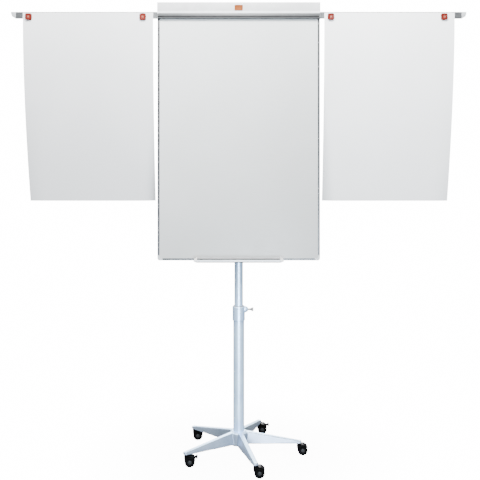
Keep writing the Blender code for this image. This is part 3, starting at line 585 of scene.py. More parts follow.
lengthways = {"X": (60, 1, 1), "Z": (1, 1, 60)}
finishes = {
    "silverCast": silverPaint("silverCast"),
    "silverTube": silverPaint("silverTube", (1, 1, 14)),
    "silverFlankShade": silverPaint("silverFlankShade", tint="silverShade"),
    "silverEdgeShade": silverPaint("silverEdgeShade", tint="silverEdgeShade"),
    "steel": brushedMetal("bareSteel", "steel"),
    "railUpright": brushedMetal("railUpright", "upright", lengthways["Z"], metal=0.6),
    "railAcross": brushedMetal("railAcross", "aluminium", lengthways["X"]),
    "armAcross": brushedMetal("armAcross", "arm", lengthways["X"]),
    "trayPale": brushedMetal("trayPale", "trayFace", lengthways["X"], (0.4, 0.5), 0.3),
    "enamel": boardEnamel(),
    "core": coreBoard(),
    "back": backMetal(),
    "paper": paperSheet(),
    "header": moulded("headerPaint", "header", (0.40, 0.50), 0.0012),
    "headerLipHighlight": moulded("headerLipHighlight", "headerLipHighlight", (0.40, 0.50), 0.0012),
    "whitePlastic": moulded("whitePlastic", "white"),
    "lightPlastic": moulded("lightPlastic", "pale"),
    "clampPlastic": moulded("clampPlastic", "clamp"),
    "clampFootShade": moulded("clampFootShade", "clampFootShade", specular=0.1),
    "grooveAndUndersideShade": moulded("grooveAndUndersideShade", "grooveAndUndersideShade", (0.6, 0.7), specular=0.1),
    "saddlePlastic": moulded("saddlePlastic", "saddle"),
    "bush": moulded("bushPlastic", "bush"),
    "knob": moulded("knobGrey", "knob", (0.35, 0.5), 0.0007),
    "badge": moulded("badgeOrange", "badge", (0.45, 0.55), specular=0.15),
    "magnet": moulded("magnetOrange", "magnet", (0.45, 0.55), specular=0.12),
    "magnetCentre": moulded("magnetCentre", "magnetCentre", (0.35, 0.45), specular=0.3),
    "hood": moulded("casterBlack", "black", (0.30, 0.42), 0.0006, 0.00004, hoodDust, specular=0.04),
    "tyre": moulded("wheelBlack", "black", (0.50, 0.70), 0.0005, 0.00005, wheelDust, specular=0.03),
    "hubDisc": moulded("wheelDisc", "wheelDisc", (0.35, 0.5), 0.0006, 0.00004, wheelDust, specular=0.08),
}


def recoat(finish, *names):
    # A carried-over part keeps its shape and takes a finish
    for name in names:
        nodes[name].data.materials.clear()
        nodes[name].data.materials.append(finishes[finish])


print("finishes mixed:", len(finishes))

# Star base

starBase = {
    "legStart": 0.030,
    "stemCircle": 0.262,
    "firstTurn": -3.0,
    "legCount": 5,
    "tipLength": 0.0118,
    "tipRound": 0.0080,
    "seatRadius": 0.0243,
    "stemHole": 0.0054,
}


def makeWedge(name, start, end, halfLow, halfHigh, bottoms, tops):
    # A leg's block: its eight corners pulled to where the leg tapers and slopes to
    piece = block(name, (start, -0.02, 0.04), (end, 0.02, 0.10))
    for x, place in ((start, 0), (end, 1)):
        for side in (-1, 1):
            moveCorner(piece, (x, side * 0.02, 0.04), (x, side * halfLow[place], bottoms[place]))
            moveCorner(piece, (x, side * 0.02, 0.10), (x, side * halfHigh[place], tops[place]))
    return piece


def ringOf(piece, count):
    # One leg becomes a ring of legs about the column
    piece.rotation_euler.z = math.radians(starBase["firstTurn"])
    settle(piece)
    bpy.ops.object.mode_set(mode="EDIT")
    bpy.ops.mesh.select_all(action="SELECT")
    bpy.ops.mesh.spin(steps=count - 1, dupli=True, angle=2 * math.pi * (count - 1) / count,
                      center=(0, 0, 0), axis=(0, 0, 1))
    leave()
    return piece


def makeStarBase():
    size = starBase
    legs = makeWedge("legs", size["legStart"], size["stemCircle"], (0.0190, 0.0128), (0.0105, 0.0088),
                     (0.0460, 0.0495), (0.0980, 0.0603))
    pick(legs, "FACE", lambda at, normal: normal.x > 0.9)
    bpy.ops.mesh.extrude_region_move(TRANSFORM_OT_translate={"value": (size["tipLength"], 0, 0)})
    leave()
    tip = size["stemCircle"] + size["tipLength"]
    roundEdges(legs, size["tipRound"], 6, lambda at, along: at.x > tip - 0.001 and abs(along.z) > 0.8)
    ringOf(legs, size["legCount"])
    hollows = makeWedge("hollows", 0.047, 0.238, (0.0150, 0.0095), (0.0068, 0.0052), (0.0420, 0.0440),
                        (0.0920, 0.0598))
    ringOf(hollows, size["legCount"])
    hub = turned("starBase", [
        (0, 0.0400), (0.0345, 0.0400), (0.0385, 0.0415), (0.0400, 0.0460), (0.0400, 0.0860), (0.0385, 0.0925),
        (0.0345, 0.0970), (0.0290, 0.0995), (0.0260, 0.1000), (0, 0.1000),
    ], steps=60)
    merge(hub, legs, "UNION", True)
    merge(hub, hollows, "DIFFERENCE", True)
    recast(hub, 0.0017, 5, 0.45)
    seat = turned("seat", [(0, 0.0300), (0.0058, 0.0300), (0.0058, 0.0597), (size["seatRadius"], 0.0597),
                           (size["seatRadius"], 0.1100), (0, 0.1100)], steps=64)
    merge(hub, seat, "DIFFERENCE")
    for number in range(size["legCount"]):
        low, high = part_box(f"caster_stem_{number}")
        middle = (low + high) / 2
        drill(hub, size["stemHole"], (middle.x, middle.y, 0.040), (middle.x, middle.y, 0.0588), 24)
    smooth(hub, 50)
    dress(hub, "base", "silver_paint", finishes["silverCast"], "star_base")
    # Painted shade: faces steeper than the top (normal z under 0.45) take the darker silverShade tone, so the
    # legs' sides read darker than their tops
    addSecond(hub, finishes["silverFlankShade"], lambda at, normal: normal.z < 0.45)
    # Painted shade: the rounded edges between the legs' tops and sides, away from the hub, take a near-black
    # tone
    addSecond(hub, finishes["silverEdgeShade"], lambda at, normal: 0.45 < normal.z < 0.90
              and math.hypot(at.x, at.y) > 0.045)
    print("star base cast, faces:", len(hub.data.polygons))


makeStarBase()
recoat("steel", "base_bolt", *[f"caster_stem_{k}" for k in range(5)])

# Casters: one is modelled about its own stem, then copied to the five tips

caster = {
    "trail": 0.0163,
    "axleHeight": 0.021235,
    "tread": 0.02123,
    "wheelInner": 0.0056,
    "wheelOuter": 0.0195,
    "coverInner": 0.0226,
    "coverOuter": 0.0246,
    "coverHalf": 0.0185,
    "coverTurn": (28, 168),
    "pedalTurn": 38.0,
    "pedalReach": 0.0275,
    "pedalLift": 15.0,
    "braked": (1, 3),
}
axle = (caster["trail"], caster["axleHeight"])


def aboutAxle(reach):
    # A point on the line from the axle through the pedal's pin
    turn = math.radians(caster["pedalTurn"])
    return Vector((axle[0] + reach * math.cos(turn), axle[1] + reach * math.sin(turn)))


def makeHood(withPin):
    size = caster
    start, end = size["coverTurn"]
    half = size["coverHalf"]
    cover = arc(axle, size["coverOuter"], start, end, 28) + arc(axle, size["coverInner"], end, start, 28)
    hood = solid("hood", cover, -half, half, "XZ")
    soften(hood, 0.0007, 3, 40)
    web = solid("web", arc(axle, size["coverInner"] + 0.0010, 20, 172, 24) + arc(axle, 0.0075, 200, 340, 12),
                -0.0050, 0.0050, "XZ")
    merge(hood, web)
    boss = turned("boss", [(0, 0.0300), (0.0088, 0.0300), (0.0088, 0.0468), (0.0078, 0.0478), (0, 0.0478)],
                  steps=32)
    merge(hood, boss)
    for side in (-1, 1):
        near, far = (axle[0], side * 0.0053, axle[1]), (axle[0], side * 0.0300, axle[1])
        drill(hood, size["coverInner"], near, far, 56)
    drill(hood, 0.0054, (0, 0, 0.0350), (0, 0, 0.0600), 24)
    merge(hood, rod("axlePin", 0.0028, (axle[0], -0.0172, axle[1]), (axle[0], 0.0172, axle[1]), 24))
    if withPin:
        turn = math.radians(size["pedalTurn"])
        pivot = aboutAxle(size["pedalReach"])
        foot = aboutAxle(size["coverOuter"] - 0.0008)
        across = Vector((math.sin(turn), -math.cos(turn))) * 0.0022
        outline = [tuple(foot - across), tuple(foot + across)]
        outline += arc(pivot, 0.0022, size["pedalTurn"] - 90, size["pedalTurn"] + 90, 12)
        merge(hood, solid("lug", outline, -0.0034, 0.0034, "XZ"))
        merge(hood, rod("pedalPin", 0.0010, (pivot[0], -0.0080, pivot[1]), (pivot[0], 0.0080, pivot[1]), 16))
    return smooth(hood, 40)


def makeWheel():
    # The wheel on the +Y side: tread, shoulders, a dished disc with five pockets, and its cap
    inner, outer, tread = caster["wheelInner"], caster["wheelOuter"], caster["tread"]
    wheel = turned("wheel", [
        (0, 0.0177), (0.0033, 0.0177), (0.0033, inner), (0.0192, inner), (0.0205, inner + 0.0005),
        (tread, inner + 0.0016), (tread, inner + 0.0046), (tread - 0.0004, inner + 0.0049),
        (tread - 0.0004, inner + 0.0053), (tread, inner + 0.0056), (tread, 0.0152), (tread - 0.0006, 0.0172),
        (tread - 0.0019, 0.0186), (tread - 0.0035, 0.0193), (0.0166, outer), (0.0160, outer - 0.0002),
        (0.0155, 0.0183), (0.0148, 0.0181), (0.0078, 0.0181), (0.0071, 0.0190), (0.0062, 0.0194),
        (0.0030, 0.0195), (0, 0.0195),
    ], (axle[0], 0, axle[1]), "Y", 60)

    def inPocket(at, normal):
        across, height = at.x - axle[0], at.z - axle[1]
        reach = math.hypot(across, height)
        turn = (math.degrees(math.atan2(height, across)) + 360) % 72
        return 0.009 < reach < 0.014 and at.y > 0.018 and 12 < turn < 60

    pick(wheel, "FACE", inPocket)
    bpy.ops.mesh.inset(thickness=0.0008, depth=0)
    bpy.ops.mesh.extrude_region_move(TRANSFORM_OT_translate={"value": (0, -0.0008, 0)})
    leave()
    return smooth(wheel, 32)


def makePedal():
    size = caster
    lift = math.radians(size["pedalLift"])
    pivot = aboutAxle(size["pedalReach"])
    along = Vector((math.cos(lift), math.sin(lift)))
    above = Vector((-math.sin(lift), math.cos(lift)))

    def plan(distance, height):
        return tuple(pivot + along * distance + above * height)

    blade = [plan(0.0026, -0.0022), plan(0.0048, -0.0050), plan(0.0088, -0.0056), plan(0.0104, -0.0040),
             plan(0.0106, 0.0036), plan(0.0092, 0.0054), plan(0.0058, 0.0056), plan(0.0026, 0.0030)]
    pedal = solid("pedal", blade, -0.0085, 0.0085, "XZ")
    ear = arc(pivot, 0.0024, 105, 285, 12) + [plan(0.0042, -0.0012), plan(0.0042, 0.0019)]
    for low in (0.0038, -0.0084):
        merge(pedal, solid("ear", ear, low, low + 0.0046, "XZ"))
    drill(pedal, 0.0013, (pivot.x, -0.012, pivot.y), (pivot.x, 0.012, pivot.y), 20)
    return soften(pedal, 0.0004, 2, 40)


def isDisc(at, normal):
    return math.hypot(at.x - axle[0], at.z - axle[1]) < 0.0100 and abs(at.y) > 0.0165


def makeCasters():
    plain, braked, wheel, pedal = makeHood(False), makeHood(True), makeWheel(), makePedal()
    farWheel = copyTo(wheel, "farWheel", (0, 0, 0))
    farWheel.scale.y = -1
    mend(settle(farWheel))
    smooth(farWheel, 32)
    for piece in (wheel, farWheel):
        piece.data.materials.append(finishes["tyre"])
        addSecond(piece, finishes["hubDisc"], isDisc)
    for number in range(starBase["legCount"]):
        low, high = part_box(f"caster_stem_{number}")
        spot = Vector(((low.x + high.x) / 2, (low.y + high.y) / 2, 0))
        hasBrake = number in caster["braked"]
        hood = copyTo(braked if hasBrake else plain, f"casterHood_{number}", spot)
        dress(hood, f"caster_{number}", "caster_black", finishes["hood"], f"caster_hood_{number}")
        for place, model in (("front", farWheel), ("back", wheel)):
            twin = copyTo(model, f"casterWheel_{number}_{place}", spot)
            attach(twin, f"wheel_{number}_{place}")
            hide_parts(f"caster_wheel_{number}_{place}")
        if hasBrake:
            foot = copyTo(pedal, f"brakePedal_{number}", spot)
            dress(foot, f"pedal_{number}", "caster_black", finishes["hood"], f"brake_pedal_{number}")
    for model in (plain, braked, wheel, farWheel, pedal):
        bpy.data.objects.remove(model)
    print("casters made:", starBase["legCount"])


makeCasters()

# Column

column = {
    "lowerRadius": 0.0240,
    "lowerInner": 0.0220,
    "upperRadius": 0.0190,
    "upperInner": 0.0170,
    "collarRadius": 0.0275,
    "knobHeight": 0.628,
    "grooveHalf": 0.0042,
    "grooveDepth": 0.0012,
    "grooveTop": 0.930,
}


def drillScrewHole(piece):
    height = column["knobHeight"]
    drill(piece, 0.0042, (0.010, 0, height), (0.060, 0, height), 24)


def makeColumn():
    size = column
    low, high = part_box("lower_tube")
    outer, inner = size["lowerRadius"], size["lowerInner"]
    tube = turned("lowerTube", [
        (inner, low.z + 0.012), (inner, high.z), (outer - 0.0004, high.z), (outer, high.z - 0.0004),
        (outer, low.z + 0.0005), (outer - 0.0005, low.z), (0.0056, low.z), (0.0056, low.z + 0.012),
    ], steps=72, closed=True)
    drillScrewHole(tube)
    dress(smooth(tube), "base", "silver_paint", finishes["silverTube"], "lower_tube")

    low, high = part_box("collar")
    top, outer = 0.6420, size["collarRadius"]
    collar = turned("collar", [
        (0, low.z), (outer - 0.0006, low.z), (outer, low.z + 0.0008), (outer - 0.0004, low.z + 0.0200),
        (outer - 0.0002, top - 0.0095), (outer + 0.0001, top - 0.0080), (outer, top - 0.0030),
        (outer - 0.0012, top - 0.0006), (outer - 0.0026, top), (0, top),
    ], steps=64)
    boss = turned("boss", [
        (0, 0.0100), (0.0137, 0.0100), (0.0137, 0.0275), (0.0133, 0.0305), (0.0122, 0.0338), (0.0104, 0.0367),
        (0.0083, 0.0392), (0.0066, 0.0408), (0.0055, 0.0415), (0, 0.0415),
    ], (0, 0, size["knobHeight"]), "X", 48)
    merge(collar, boss)
    recast(collar, 0.0007, 4, 0.5)
    room = turned("room", [
        (0, low.z - 0.010), (0.0243, low.z - 0.010), (0.0243, 0.6343), (0.0197, 0.6343), (0.0197, 0.660),
        (0, 0.660),
    ], steps=64)
    merge(collar, room, "DIFFERENCE")
    drillScrewHole(collar)
    dress(smooth(collar, 40), "base", "silver_paint", finishes["silverCast"], "collar")

    ring = turned("collarRing", [
        (0.0194, 0.6424), (0.0194, 0.6441), (0.0200, 0.6446), (0.0240, 0.6443), (0.0252, 0.6434),
        (0.0254, 0.6424),
    ], steps=64, closed=True)
    dress(smooth(ring), "base", "bush_plastic", finishes["bush"])

    knob = turned("clampKnob", [
        (0, 0.0182), (0.0028, 0.0182), (0.0035, 0.0189), (0.0035, 0.0428), (0.0044, 0.0436), (0.0046, 0.0446),
        (0.0042, 0.0462), (0.0041, 0.0490), (0.0046, 0.0515), (0.0058, 0.0545), (0.0075, 0.0575),
        (0.0085, 0.0600), (0.0088, 0.0618), (0.0087, 0.0630), (0.0080, 0.0640), (0.0068, 0.0645),
        (0.0060, 0.0643), (0.0054, 0.0637), (0, 0.0636),
    ], (0, 0, size["knobHeight"]), "X", 48)

    def inFlute(at):
        turn = math.degrees(math.atan2(at.z - size["knobHeight"], at.y)) % 45
        reach = math.hypot(at.y, at.z - size["knobHeight"])
        return at.x > 0.0570 and reach > 0.0065 and 15 < turn < 30

    pick(knob, "VERT", inFlute)
    bpy.ops.transform.resize(value=(1, 0.93, 0.93), center_override=(0.060, 0, size["knobHeight"]))
    leave()
    dress(smooth(knob, 40), "knob", "knob_grey", finishes["knob"], "clamp_knob")

    low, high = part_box("upper_tube")
    outer, inner = size["upperRadius"], size["upperInner"]
    tube = turned("upperTube", [
        (inner, low.z), (outer - 0.0004, low.z), (outer, low.z + 0.0004), (outer, high.z - 0.0004),
        (outer - 0.0004, high.z), (inner, high.z),
    ], steps=72, closed=True)
    groove = block("groove", (outer - size["grooveDepth"], -size["grooveHalf"], low.z - 0.010),
                   (outer + 0.010, size["grooveHalf"], size["grooveTop"]))
    soften(groove, 0.0006, 3)
    merge(tube, groove, "DIFFERENCE")
    dress(smooth(tube), "mast", "silver_paint", finishes["silverTube"], "upper_tube")
    plug = turned("tubePlug", [
        (0, high.z - 0.0100), (0.0168, high.z - 0.0100), (0.0168, high.z + 0.0003), (0.0190, high.z + 0.0003),
        (0.0188, high.z + 0.0020), (0.0175, high.z + 0.0032), (0.0120, high.z + 0.0040), (0, high.z + 0.0043),
    ], steps=48)
    dress(smooth(plug), "mast", "bush_plastic", finishes["bush"])
    recoat("bush", "collar_bush", "upper_tube_guide")
    print("column made")


makeColumn()

# Saddles between the upper tube and the board's back, with their bolts

saddle = {"plateHalf": 0.060, "blockHalf": 0.025, "ringRadius": 0.025, "bore": 0.0193, "half": 0.030,
          "boltAcross": 0.047, "boltUp": 0.018}


def makeBolt():
    # A hexagon head on its washer, standing on the plate's back
    bolt = rod("bolt", 0.0070, (0, 0, 0), (0, 0.0012, 0), 32)
    head = rod("head", 0.0056, (0, 0.0010, 0), (0, 0.0050, 0), 6)
    pick(head, "FACE", lambda at, normal: normal.y > 0.9)
    bpy.ops.mesh.inset(thickness=0.0010, depth=0)
    bpy.ops.transform.translate(value=(0, 0.0006, 0))
    leave()
    merge(bolt, head)
    return soften(bolt, 0.0002, 2, 25)


def makeSaddles():
    size = saddle
    bolt = makeBolt()
    for name in ("lower", "upper"):
        low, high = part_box(f"{name}_saddle")
        middle = (low.z + high.z) / 2
        half = size["half"]
        plate = block(f"{name}Saddle", (-size["plateHalf"], low.y, middle - half),
                      (size["plateHalf"], low.y + 0.0040, middle + half))
        roundEdges(plate, 0.008, 6, lambda at, along: abs(along.y) > 0.9)
        merge(plate, block("neck", (-size["blockHalf"], low.y + 0.0020, middle - half + 0.0005),
                           (size["blockHalf"], 0, middle + half - 0.0005)))
        merge(plate, rod("ring", size["ringRadius"], (0, 0, middle - half), (0, 0, middle + half), 64))
        for side in (-1, 1):
            outline = [(side * 0.022, low.y + 0.0030), (side * 0.048, low.y + 0.0030), (side * 0.022, -0.012)]
            merge(plate, solid("rib", outline, middle - 0.0020, middle + 0.0020, "XY"))
        drill(plate, size["bore"], (0, 0, middle - half - 0.01), (0, 0, middle + half + 0.01), 64)
        soften(plate, 0.0009, 2, 40)
        dress(plate, "mast", "grey_plastic", finishes["saddlePlastic"], f"{name}_saddle")
        for count, (across, rise) in enumerate([(-1, -1), (-1, 1), (1, -1), (1, 1)]):
            spot = (across * size["boltAcross"], low.y + 0.0040, middle + rise * size["boltUp"])
            dress(copyTo(bolt, f"{name}SaddleBolt_{count}", spot), "mast", "bare_steel", finishes["steel"])
    return bolt


bolt = makeSaddles()
print("saddles made")

# Board and frame

board = {
    "half": 0.350,
    "bottom": 0.849,
    "front": -0.0615,
    "back": -0.0444,
    "face": 0.009,
    "wall": 0.0014,
    "lip": 0.0012,
    "cornerLeg": 0.022,
    "cornerRadius": 0.010,
    "edgeRound": 0.0009,
}


def channelOutline(outside, inward):
    # A channel's section as (across, depth) points: rounded outside, a fine line on its face, open inwards
    size = board
    front, back = size["front"], size["back"]
    wall, edge = outside + inward * size["wall"], outside + inward * size["face"]
    grooveFront, grooveBack = front + size["lip"], back - size["lip"]
    r = size["edgeRound"]
    bend = [(outside + inward * (r - r * math.cos(a)), front + r - r * math.sin(a))
            for a in [math.radians(k * 15) for k in range(7)]]
    line = outside + inward * 0.0055
    outline = bend + [
        (line, front), (line + inward * 0.0003, front + 0.0005), (line + inward * 0.0009, front + 0.0005),
        (line + inward * 0.0012, front), (edge - inward * 0.0004, front), (edge, front + 0.0004),
        (edge, grooveFront), (wall, grooveFront), (wall, grooveBack), (edge, grooveBack), (edge, back),
    ]
    bend = [(outside + inward * (r - r * math.sin(a)), back - r + r * math.cos(a))
            for a in [math.radians(k * 15) for k in range(7)]]
    return outline + bend


def makeFrame():
    size = board
    for name, side in sides.items():
        low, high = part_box(f"frame_{name}_rail")
        rail = solid(f"{name}Rail", channelOutline(side * size["half"], -side), low.z, high.z, "XY")
        dress(smooth(rail), "mast", "frame_aluminium", finishes["railUpright"], f"frame_{name}_rail")

        edge, bottom, leg = size["half"], size["bottom"], size["cornerLeg"]
        r = size["cornerRadius"]
        outline = [(edge - leg, bottom)]
        outline += arc((edge - r, bottom + r), r, 270, 360, 12) + [(edge, bottom + leg)]
        face = size["face"]
        inner = 0.0040
        outline += [(edge - face, bottom + leg)]
        outline += arc((edge - face - inner, bottom + face + inner), inner, 0, -90, 6)
        outline += [(edge - leg, bottom + face)]
        outline = [(side * x, z) for x, z in outline]
        corner = solid(f"{name}Corner", outline, size["front"], size["back"], "XZ")
        wall = size["wall"]
        pocket = [(edge - 0.040, bottom + wall)] + arc((edge - r, bottom + r), r - wall, 270, 360, 12)
        pocket += [(edge - wall, bottom + 0.040), (edge - 0.040, bottom + 0.040)]
        merge(corner, solid("pocket", [(side * x, z) for x, z in pocket], size["front"] + size["lip"],
                            size["back"] - size["lip"], "XZ"), "DIFFERENCE")
        soften(corner, 0.0005, 2, 40)
        dress(corner, "mast", "light_plastic", finishes["lightPlastic"], f"corner_bottom_{name}")

    low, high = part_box("frame_bottom_rail")
    outline = [(y, z) for z, y in channelOutline(size["bottom"], 1)]
    rail = solid("bottomRail", outline, low.x, high.x, "YZ")
    dress(smooth(rail), "mast", "frame_aluminium", finishes["railAcross"], "frame_bottom_rail")
    recoat("enamel", "writing_surface")
    recoat("core", "board_core")
    recoat("back", "back_sheet")
    recoat("railAcross", "top_rail")
    recoat("steel", "hinge_rod")
    low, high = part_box("top_rail")
    for name, side in sides.items():
        cap = block(f"{name}RailCap", (side * high.x, board["front"] + 0.0004, low.z + 0.0004),
                    (side * (high.x + 0.0022), board["back"] - 0.0004, high.z - 0.0004))
        if side < 0:
            mend(cap)
        soften(cap, 0.0008, 3)
        dress(cap, "mast", "light_plastic", finishes["lightPlastic"])
    print("frame made")


makeFrame()

# Clamp: header, badge and pressing bar

clamp = {"front": -0.0780, "top": 1.959, "bottom": 1.912, "bend": 0.0092, "lip": 0.0030, "sheet": 0.0014,
         "hingeY": -0.0665, "hingeZ": 1.951, "half": 0.350}


def makeClamp():
    size = clamp
    front, top, bottom = size["front"], size["top"], size["bottom"]
    bend, lip, sheet = bottom + size["bend"], front + size["lip"], size["sheet"]
    rear = size["hingeY"] - 0.0010
    outline = [(rear, top)] + arc((front + 0.0022, top - 0.0022), 0.0022, 90, 180, 6)
    outline += [(front, bend), (lip, bottom), (lip + 0.0015, bottom), (front + sheet, bend + 0.0004),
                (front + sheet, top - 0.0024), (front + 0.0024, top - sheet), (rear, top - sheet)]
    plate = solid("headerPlate", outline, -size["half"], size["half"], "YZ")
    hinge = (size["hingeY"], size["hingeZ"])
    cheek = [(front + 0.0001, bend), (front + 0.0001, top - 0.0022)]
    cheek += arc((front + 0.0022, top - 0.0022), 0.0021, 180, 90, 6)
    cheek += [(rear, top - 0.0001)] + arc(hinge, 0.0036, 90, 0, 8)
    cheek += [(size["hingeY"] + 0.0036, bottom + 0.0005), (lip + 0.0001, bottom + 0.0005)]
    for side in sides.values():
        near, far = sorted((side * (size["half"] - 0.0001), side * (size["half"] - 0.0016)))
        merge(plate, solid("cheek", cheek, near, far, "YZ"))
        drill(plate, 0.0023, (near - 0.002, *hinge), (far + 0.002, *hinge), 24)
    soften(plate, 0.0003, 2, 25)
    dress(plate, "clamp", "white_paint", finishes["header"], "header_plate")
    # Painted highlight: the header's lower bent lip, below the bend, takes a lighter paint
    addSecond(plate, finishes["headerLipHighlight"], lambda at, normal: at.z < bend - 0.0002 and normal.y < -0.3)

    low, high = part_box("header_badge")
    badge = block("headerBadge", low - Vector((0.002, 0, 0.0015)), high + Vector((0.002, 0, 0.0015)))
    roundEdges(badge, 0.0030, 6, lambda at, along: abs(along.y) > 0.9)
    pick(badge, "FACE", lambda at, normal: normal.y < -0.9)
    bpy.ops.mesh.inset(thickness=0.0014, depth=0)
    bpy.ops.transform.translate(value=(0, 0.0003, 0))
    leave()
    soften(badge, 0.0003, 3, 20)
    dress(badge, "clamp", "badge_orange", finishes["badge"], "header_badge")

    low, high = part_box("clamp_bar")
    rear, base = high.y, low.z
    deck = size["bottom"] - 0.0003
    outline = [
        (rear, base), (-0.0725, base), (-0.0735, base + 0.0004), (-0.0740, base + 0.0015), (-0.0740, 1.8958),
        (-0.0737, 1.8964), (-0.0708, 1.8966), (-0.0708, 1.9002), (-0.0740, 1.9004), (-0.0745, 1.9010),
        (-0.0745, deck), (-0.0730, deck), (-0.0730, high.z), (-0.0705, high.z), (-0.0705, deck), (rear, deck),
    ]
    bar = solid("clampBar", outline, low.x, high.x, "YZ")
    soften(bar, 0.0002, 2, 40)
    dress(bar, "clamp", "grey_plastic", finishes["clampPlastic"], "clamp_bar")
    # Painted shade: the bar's lower front strip takes a darker tone
    addSecond(bar, finishes["clampFootShade"], lambda at, normal: 1.8915 < at.z < 1.8952 and at.y < -0.0700)
    # Painted shade: the faces inside the clamp bar's groove take a near-black tone
    addSecond(bar, finishes["grooveAndUndersideShade"], lambda at, normal: 1.8952 < at.z < 1.9012 and at.y < -0.0700)

    for name, side in sides.items():
        low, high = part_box(f"pad_hook_{name}")
        middle = ((low.x + high.x) / 2, 0, (low.z + high.z) / 2)
        face = board["front"]
        hook = turned(f"{name}PadHook", [
            (0, face + 0.0040), (0.0026, face + 0.0040), (0.0026, face - 0.0005), (0.0058, face - 0.0005),
            (0.0061, face - 0.0008), (0.0060, face - 0.0020), (0.0046, face - 0.0026), (0.0034, face - 0.0034),
            (0.0031, face - 0.0050), (0.0031, face - 0.0104), (0.0036, face - 0.0113), (0.0044, face - 0.0119),
            (0.0044, face - 0.0126), (0.0036, face - 0.0133), (0, face - 0.0135),
        ], middle, "Y", 40)
        foot = block("foot", (middle[0] - 0.007, face + 0.0024, middle[2] - 0.0060),
                     (middle[0] + 0.007, face + 0.0060, middle[2] + 0.0060))
        merge(hook, soften(foot, 0.0005, 2))
        smooth(hook, 40)
        dress(hook, f"hook_{name}", "light_plastic", finishes["lightPlastic"], f"pad_hook_{name}")
    print("clamp made")


makeClamp()

# Pen tray

tray = {"rear": -0.0618, "depth": 0.0547, "low": 0.8455, "top": 0.8577, "back": 0.8635, "half": 0.177,
        "endWidth": 0.014, "endTop": 0.8660, "shade": 0.8560, "sheet": 0.0015, "undercut": 0.0045}


def makeTray():
    size = tray
    rear, low, top, sheet, cut = size["rear"], size["low"], size["top"], size["sheet"], size["undercut"]
    front = rear - size["depth"]
    outline = [
        (rear, low), (rear, size["back"]), (rear - sheet, size["back"]), (rear - sheet, size["shade"]),
        (rear - sheet, low + sheet + 0.0015),
        (rear - sheet - 0.0015, low + sheet), (front + 0.0200, low + sheet),
        (front + 0.0196, low + sheet - 0.0005), (front + 0.0188, low + sheet - 0.0005),
        (front + 0.0184, low + sheet), (front + cut + 0.0006, low + sheet),
        (front + sheet, low + cut + 0.0006), (front + sheet, top - 0.0004), (front + sheet - 0.0004, top),
        (front + 0.0006, top), (front, top - 0.0006), (front, low + cut), (front + cut, low),
    ]
    floor = solid("penTray", outline, -size["half"], size["half"], "YZ")
    dress(smooth(floor, 25), "mast", "frame_aluminium", finishes["trayPale"], "pen_tray")
    # Painted shade: faces below tray["shade"] behind the front lip's outer face, the trough's floor and lower
    # back wall among them, take the dark rail finish
    addSecond(floor, finishes["railAcross"],
              lambda at, normal: at.z < size["shade"] and at.y > front + sheet - 0.0001)
    # Painted shade: the sloped undercut under the tray's front lip takes a near-black tone
    addSecond(floor, finishes["grooveAndUndersideShade"], lambda at, normal: at.z < low + cut and at.y < front + cut)

    outline = [(rear, low - 0.0003), (rear, size["endTop"]), (rear - 0.006, size["endTop"]),
               (front - 0.001, top + 0.0005),
               (front - 0.001, low + cut - 0.001), (front + cut - 0.001, low - 0.0003)]
    for name, side in sides.items():
        start = side * (size["half"] + 0.0003)
        cap = solid(f"{name}TrayEnd", outline, start, start + side * (size["endWidth"] - 0.0003), "YZ")
        outer = start + side * (size["endWidth"] - 0.0003)
        pick(cap, "VERT", lambda co: abs(co.x - outer) < 0.0001)
        bpy.ops.transform.resize(value=(1, 1, 0.35), center_override=(outer, 0, board["bottom"] + 0.0045))
        leave()
        soften(cap, 0.0009, 3, 20)
        dress(cap, "mast", "white_plastic", finishes["whitePlastic"], f"tray_end_{name}")
    print("tray made")


makeTray()

# Side arms with their end caps, brackets and magnets

sideArm = {
    "pivot": 0.330,
    "end": 0.990,
    "capStart": 0.9685,
    "front": -0.0395,
    "depth": 0.0095,
    "low": 1.8975,
    "high": 1.9257,
    "wall": 0.0016,
}
magnet = {"side": 0.028, "corner": 0.0068, "centreSpot": 0.0044, "centre": 0.0062, "centreScale": 0.66}


